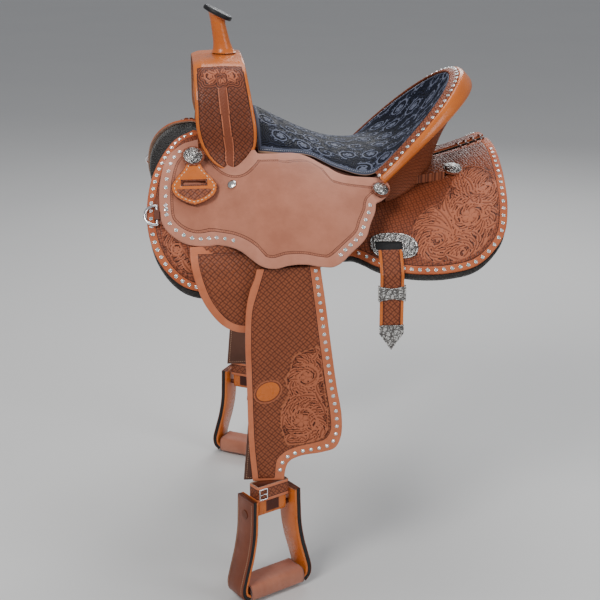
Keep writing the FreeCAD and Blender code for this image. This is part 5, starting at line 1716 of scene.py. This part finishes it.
def stirrup():
    frame_piece = Piece()
    cover = Piece()
    for sign in (-1, 1):
        branch(frame_piece, -9.0, 0.0, 50.0, "brown", 2.0, sign)
        branch(cover, -10.6, -5.4, 53.0, "orange", 1.6, sign)
        branch(cover, 0.8, 3.0, 53.0, "brown", 1.0, sign)
        for y in (-25.4, 25.4):
            rings = [[(sign * p[0], y - 0.8, p[1]), (sign * q[0], y - 0.8, q[1]),
                      (sign * q[0], y + 0.8, q[1]), (sign * p[0], y + 0.8, p[1])]
                     for p, q in zip(bell_line(-5.6), bell_line(1.0))]
            tube(cover, placed(np.array(rings)), "black")
        line = bell_line(3.3)[3:-10]
        for y in (-22.0, 22.0):
            for i in range(0, len(line) - 2, 2):
                a, b = line[i], line[i + 1]
                ends = placed(np.array([(sign * a[0], y, a[1]), (sign * b[0], y, b[1])]))
                centre, d = ends.mean(0), ends[1] - ends[0]
                d /= np.linalg.norm(d)
                side = np.cross(d, [0, 0, 1.0])
                side /= np.linalg.norm(side)
                up = np.cross(side, d)
                section = [(side * math.cos(t) + up * math.sin(t)) * 0.5 for t in around(6)]
                tube(cover, [[centre + d * k + q for q in section] for k in (-1.2, 0, 1.2)], "thread")
    bar = np.array([(-62, -25, -731.0), (-62, 25, -731.0), (-62, 25, -722.2), (-62, -25, -722.2)])
    tube(frame_piece, placed(np.array([bar + [k, 0, 0] for k in (-6, 0, 40, 84, 124, 130)])), "wood")
    frame_piece.pair("stirrup_frame", "stirrup_*", ["stirrup_frame_*"])
    cover.pair("stirrup_cover", "stirrup_*", ["stirrup_cover_*"])

    tread = Piece()
    section = rounded([(-28.3, -729), (-28.3, -710), (-24, -703.6), (0, -703.2), (24, -703.6), (28.3, -710),
                       (28.3, -729), (24, -735.2), (0, -735.4), (-24, -735.2)], 3.0)
    section = even(np.array(section), 3.4)
    mid_z = -719.3

    def slice_at(x, size):
        return [(x, y * size, mid_z + (z - mid_z) * size) for y, z in section]

    rings = []
    for x in np.linspace(-61.8, 61.8, 62):
        rings.append(slice_at(x, 1.0 - 0.012 * abs(math.sin(x * 0.22)) - 0.03 * (abs(x) > 60)))
    tube(tread, placed(np.array(rings)), "roughout")
    # a darker band at each end of the tread, where it meets the bell
    for x in (-61.0, 61.0):
        tube(tread, placed(np.array([slice_at(x + k, 1.006) for k in (-0.8, 0, 0.8)])), "roughout_dark")
    tread.pair("stirrup_tread", "stirrup_*", ["stirrup_tread_*"])


def strap_ring(piece, x_half, y_half, low, high, thick, round_r, edge, zone):
    """A band that goes round a neck, with rounded corners and eased edges."""
    corner = []
    for cx, cy, a0 in ((1, -1, -90), (1, 1, 0), (-1, 1, 90), (-1, -1, 180)):
        for a in np.radians(np.linspace(a0, a0 + 90, 7)):
            corner.append((cx * (x_half - round_r) + round_r * math.cos(a),
                           cy * (y_half - round_r) + round_r * math.sin(a)))
    loop = even(np.array(corner), 1.6)
    tangent = np.roll(loop, -1, 0) - np.roll(loop, 1, 0)
    out = np.stack([tangent[:, 1], -tangent[:, 0]], 1)
    out /= np.linalg.norm(out, axis=1)[:, None]
    zs = np.concatenate([[low], np.linspace(low + edge, high - edge, 18), [high]])
    rings = []
    for z in zs:
        e = edge * (1 - min(1, min(z - low, high - z) / edge)) * 0.8
        rings.append(np.column_stack([loop - out * e, np.full(len(loop), z)]))
    for z in zs[::-1]:
        rings.append(np.column_stack([loop - out * thick, np.full(len(loop), z)]))
    rings = placed(np.array(rings))
    rows, cols = rings.shape[:2]
    faces = grid_faces(rows, cols, close_u=True, close_v=True)
    outer_rows = len(zs) - 1
    names = [zone(zs[f[0] // cols]) if f[0] // cols < outer_rows else "flesh" for f in faces]
    heights = np.concatenate([zs, zs[::-1]])
    uv = np.array([(along, z) for z in heights for along in run_of(loop)])
    piece.add(rings.reshape(-1, 3), [f[::-1] for f in faces], names, uv=uv)


def loop_and_hobble():
    """The loop that wraps the stirrup bolt, and the hobble strap buckled round its neck."""
    along = np.array([math.cos(TURN), math.sin(TURN), 0])
    front = np.array([math.sin(TURN), -math.cos(TURN), 0])
    piece = Piece()
    ply, radius = 5.0, 11.0
    path = [(radius, -507.2)] + [(radius, z) for z in np.linspace(-512, -560, 20)]
    path += [(radius * math.cos(a), -560 - radius * math.sin(a)) for a in np.linspace(0, math.pi, 22)[1:]]
    path += [(-radius, z) for z in np.linspace(-558, -507.2, 20)]
    path = even(np.array(path), 2.0, closed=False)
    tangent = np.gradient(path, axis=0)
    out = np.stack([-tangent[:, 1], tangent[:, 0]], 1)
    out /= np.linalg.norm(out, axis=1)[:, None]
    outside = [(-30.9, 0.5), (-30.0, 0.1), (-24, 0), (-12, 0), (0, 0), (12, 0), (24, 0), (30.0, 0.1),
               (30.9, 0.5)]
    inside = [(30.9, 0.5), (30, 0.1), (0, 0), (-30, 0.1), (-30.9, 0.5)]
    rings = []
    for p, n in zip(path, out):
        q = p - n * (ply - 0.2)
        row = [(x, p[0] - n[0] * s, p[1] - n[1] * s) for x, s in outside]
        rings.append(row + [(x, q[0] + n[0] * s, q[1] + n[1] * s) for x, s in inside])
    tube(piece, placed(np.array(rings)), "orange")
    neck = [(-30.8, -10.9), (30.8, -10.9), (30.8, 10.9), (-30.8, 10.9)]
    rings = [[(x, y, z) for x, y in neck] for z in (-536.0, -535, -507.2, -506.2)]
    tube(piece, placed(np.array(rings)), "brown")
    square = ccw(even(np.array([(-15, -13), (15, -13), (15, 13), (-15, 13)], float), 1.5))

    def badge_zone(p, d):
        return np.where(d < 1.6, "brown", "dark_line").tolist()

    def badge_relief(p, d):
        return 0.3 * np.cos(p[:, 0] * 0.8) * np.cos(p[:, 1] * 0.8) * (d > 2), 1.0 + 0 * d

    for side in (-1, 1):
        face = OnPlane(placed(np.array([0.0, 11.0 * side, -549.0])), along * -side, [0, 0, 1], front * -side)
        sheet(piece, square, face, 0.5, badge_zone, "brown", "brown", (inset(square, 1.6),), spacing=2.0,
              relief=badge_relief, edge=0.5)
    piece.pair("stirrup_loop", "hobble_*", ["stirrup_loop_*"])

    hobble = Piece()
    low, high = -537.0, -505.5

    def zone(z):
        gap = min(z - low, high - z)
        return "border" if gap < 5.2 else "dark_line" if gap < 7.2 else "basket"

    strap_ring(hobble, 36.4, 15.4, low, high, 3.6, 5.0, 1.2, zone)
    origin = placed(np.array([-24.0, -15.4, -521.0]))
    half_w, half_h, wire = 8.5, 10.5, 1.15
    corners = [(-half_w, -half_h), (half_w, -half_h), (half_w, half_h), (-half_w, half_h)]
    ring_line = even(np.array(corners, float), 1.4)
    pts = [origin + along * a + np.array([0, 0, 1.0]) * b + front * 1.0 for a, b in ring_line]
    sections = []
    for i in range(len(pts)):
        d = pts[(i + 1) % len(pts)] - pts[i - 1]
        d /= np.linalg.norm(d)
        s = np.cross(d, front)
        sections.append([pts[i] + (s * math.cos(t) + front * math.sin(t)) * wire for t in around(8)])
    sections.append(sections[0])
    tube(hobble, sections, "nickel", caps=False)
    tongue = []
    for k in range(9):
        middle = origin + along * (-half_w + 2.1 * k) + front * (1.6 + 0.5 * math.sin(k))
        tongue.append([middle + np.array([0, 0, math.cos(t)]) * 0.9 + front * math.sin(t) * 0.9
                       for t in around(8)])
    tube(hobble, tongue, "nickel")
    hobble.pair("hobble_strap", "hobble_*", ["hobble_strap_*"])


def lacing():
    piece = Piece()
    surface = OnBack(SKIRT_TOP + 1.6)
    for x in (322, 337, 352, 367):
        rings = []
        for t in np.linspace(-1, 1, 30):
            y = t * 20
            base, n = surface(surface.from_y(np.array([x + 1.4 * math.sin(t * 6)]), np.array([-abs(y)])))
            p, m = base[0], n[0]
            if y > 0:
                p, m = p * [1, -1, 1], m * [1, -1, 1]
            p = p + m * (0.9 - 2.2 * abs(t) ** 8)
            rings.append([p + np.array([math.cos(a), 0, 0]) * 2.2 + m * math.sin(a) * 1.3 for a in around(8)])
        tube(piece, rings, "brown")
    piece.make("skirt_lacing", "root", ["skirt_lacing"])


# ---------------------------------------------------------------- carried-over solids
CARRIED = {"tree_bars": "chestnut_cad", "tree_fork": "orange_cad", "saddle_screws": "bright_silver",
           "gullet_cover": "flesh", "horn_core": "steel", "ground_seat": "strap_cad",
           "seat_strainer": "steel", "rigging_plates": "steel", "dee_clips": "brown_cad"}
for side in ("left", "right"):
    for name in ("leather_buckle_", "buckle_sleeve_", "dee_ring_"):
        CARRIED[name + side] = "nickel"
    CARRIED["stirrup_bolt_" + side] = "brown_cad"
MATERIALS["chestnut_cad"] = leather("chestnut_plain", *CHESTNUT, recess=CHESTNUT_RECESS,
                                    ridge=CHESTNUT_PAINTED_HIGHLIGHT, stamp=(BASKET_SIZE, 45), on_cad=True)
MATERIALS["strap_cad"] = leather("strap_plain", (0.10, 0.045, 0.035), (0.18, 0.085, 0.065), on_cad=True)
MATERIALS["brown_cad"] = leather("brown_plain", (0.10, 0.030, 0.016), (0.18, 0.055, 0.028), on_cad=True)

for build in (skirts, seat_jockeys, swell, horn, cantle_facing, cheyenne_roll, tree_cantle, cantle_back,
              seat, fender, stirrup_leathers, rigging_flaps, latigo_keeper, conchos, dee_tab, flank_plate,
              billet, stirrup, loop_and_hobble, lacing):
    build()
for name, material in CARRIED.items():
    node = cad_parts[name]
    node.data.materials.clear()
    node.data.materials.append(MATERIALS[material])


# ---------------------------------------------------------------- studio
def lamp(name, place, target, size, power, tint=(1, 1, 1)):
    data = bpy.data.lights.new(name, "AREA")
    data.shape, data.size, data.energy, data.color = "SQUARE", size, power, tint
    obj = bpy.data.objects.new(name, data)
    bpy.context.collection.objects.link(obj)
    obj.location = place
    obj.rotation_euler = (Vector(target) - Vector(place)).to_track_quat("-Z", "Y").to_euler()


def studio():
    floor_z = -0.742
    corners = [(-30, -30, floor_z), (30, -30, floor_z), (30, 60, floor_z), (-30, 60, floor_z)]
    floor_mesh = bpy.data.meshes.new("floor")
    floor_mesh.from_pydata(corners, [], [(0, 1, 2, 3)])
    g = Graph("floor_pale")
    pale = g.mix(g.noise(g.solid(), 1.5), (0.66, 0.66, 0.66), (0.70, 0.70, 0.69))
    floor_mesh.materials.append(g.finish(pale, 0.9, None))
    floor = bpy.data.objects.new("floor", floor_mesh)
    bpy.context.collection.objects.link(floor)
    lamp("key", (-1.7, -2.3, 2.3), (0, 0, -0.1), 1.3, 82, (1.0, 0.98, 0.95))
    lamp("fill", (2.3, -1.9, 1.0), (0, 0, -0.15), 1.4, 30, (0.96, 0.98, 1.0))
    lamp("top", (0.2, 0.6, 2.6), (0, 0, 0), 1.5, 34)
    lamp("rear", (1.0, 2.6, 1.6), (0, 0, 0), 1.4, 34)
    world = bpy.data.worlds.new("studio")
    world.use_nodes = True
    world.node_tree.nodes["Background"].inputs["Color"].default_value = (0.93, 0.95, 1.0, 1)
    world.node_tree.nodes["Background"].inputs["Strength"].default_value = 0.34
    bpy.context.scene.world = world
    camera_data = bpy.data.cameras.new("camera")
    camera_data.lens, camera_data.sensor_width, camera_data.clip_end = 78.2, 36.0, 50.0
    camera = bpy.data.objects.new("camera", camera_data)
    bpy.context.collection.objects.link(camera)
    camera.location = (-0.268, -2.550, 0.6129)
    camera.rotation_euler = (math.radians(90 - 18.6), 0, math.radians(-6))
    bpy.context.scene.camera = camera


studio()
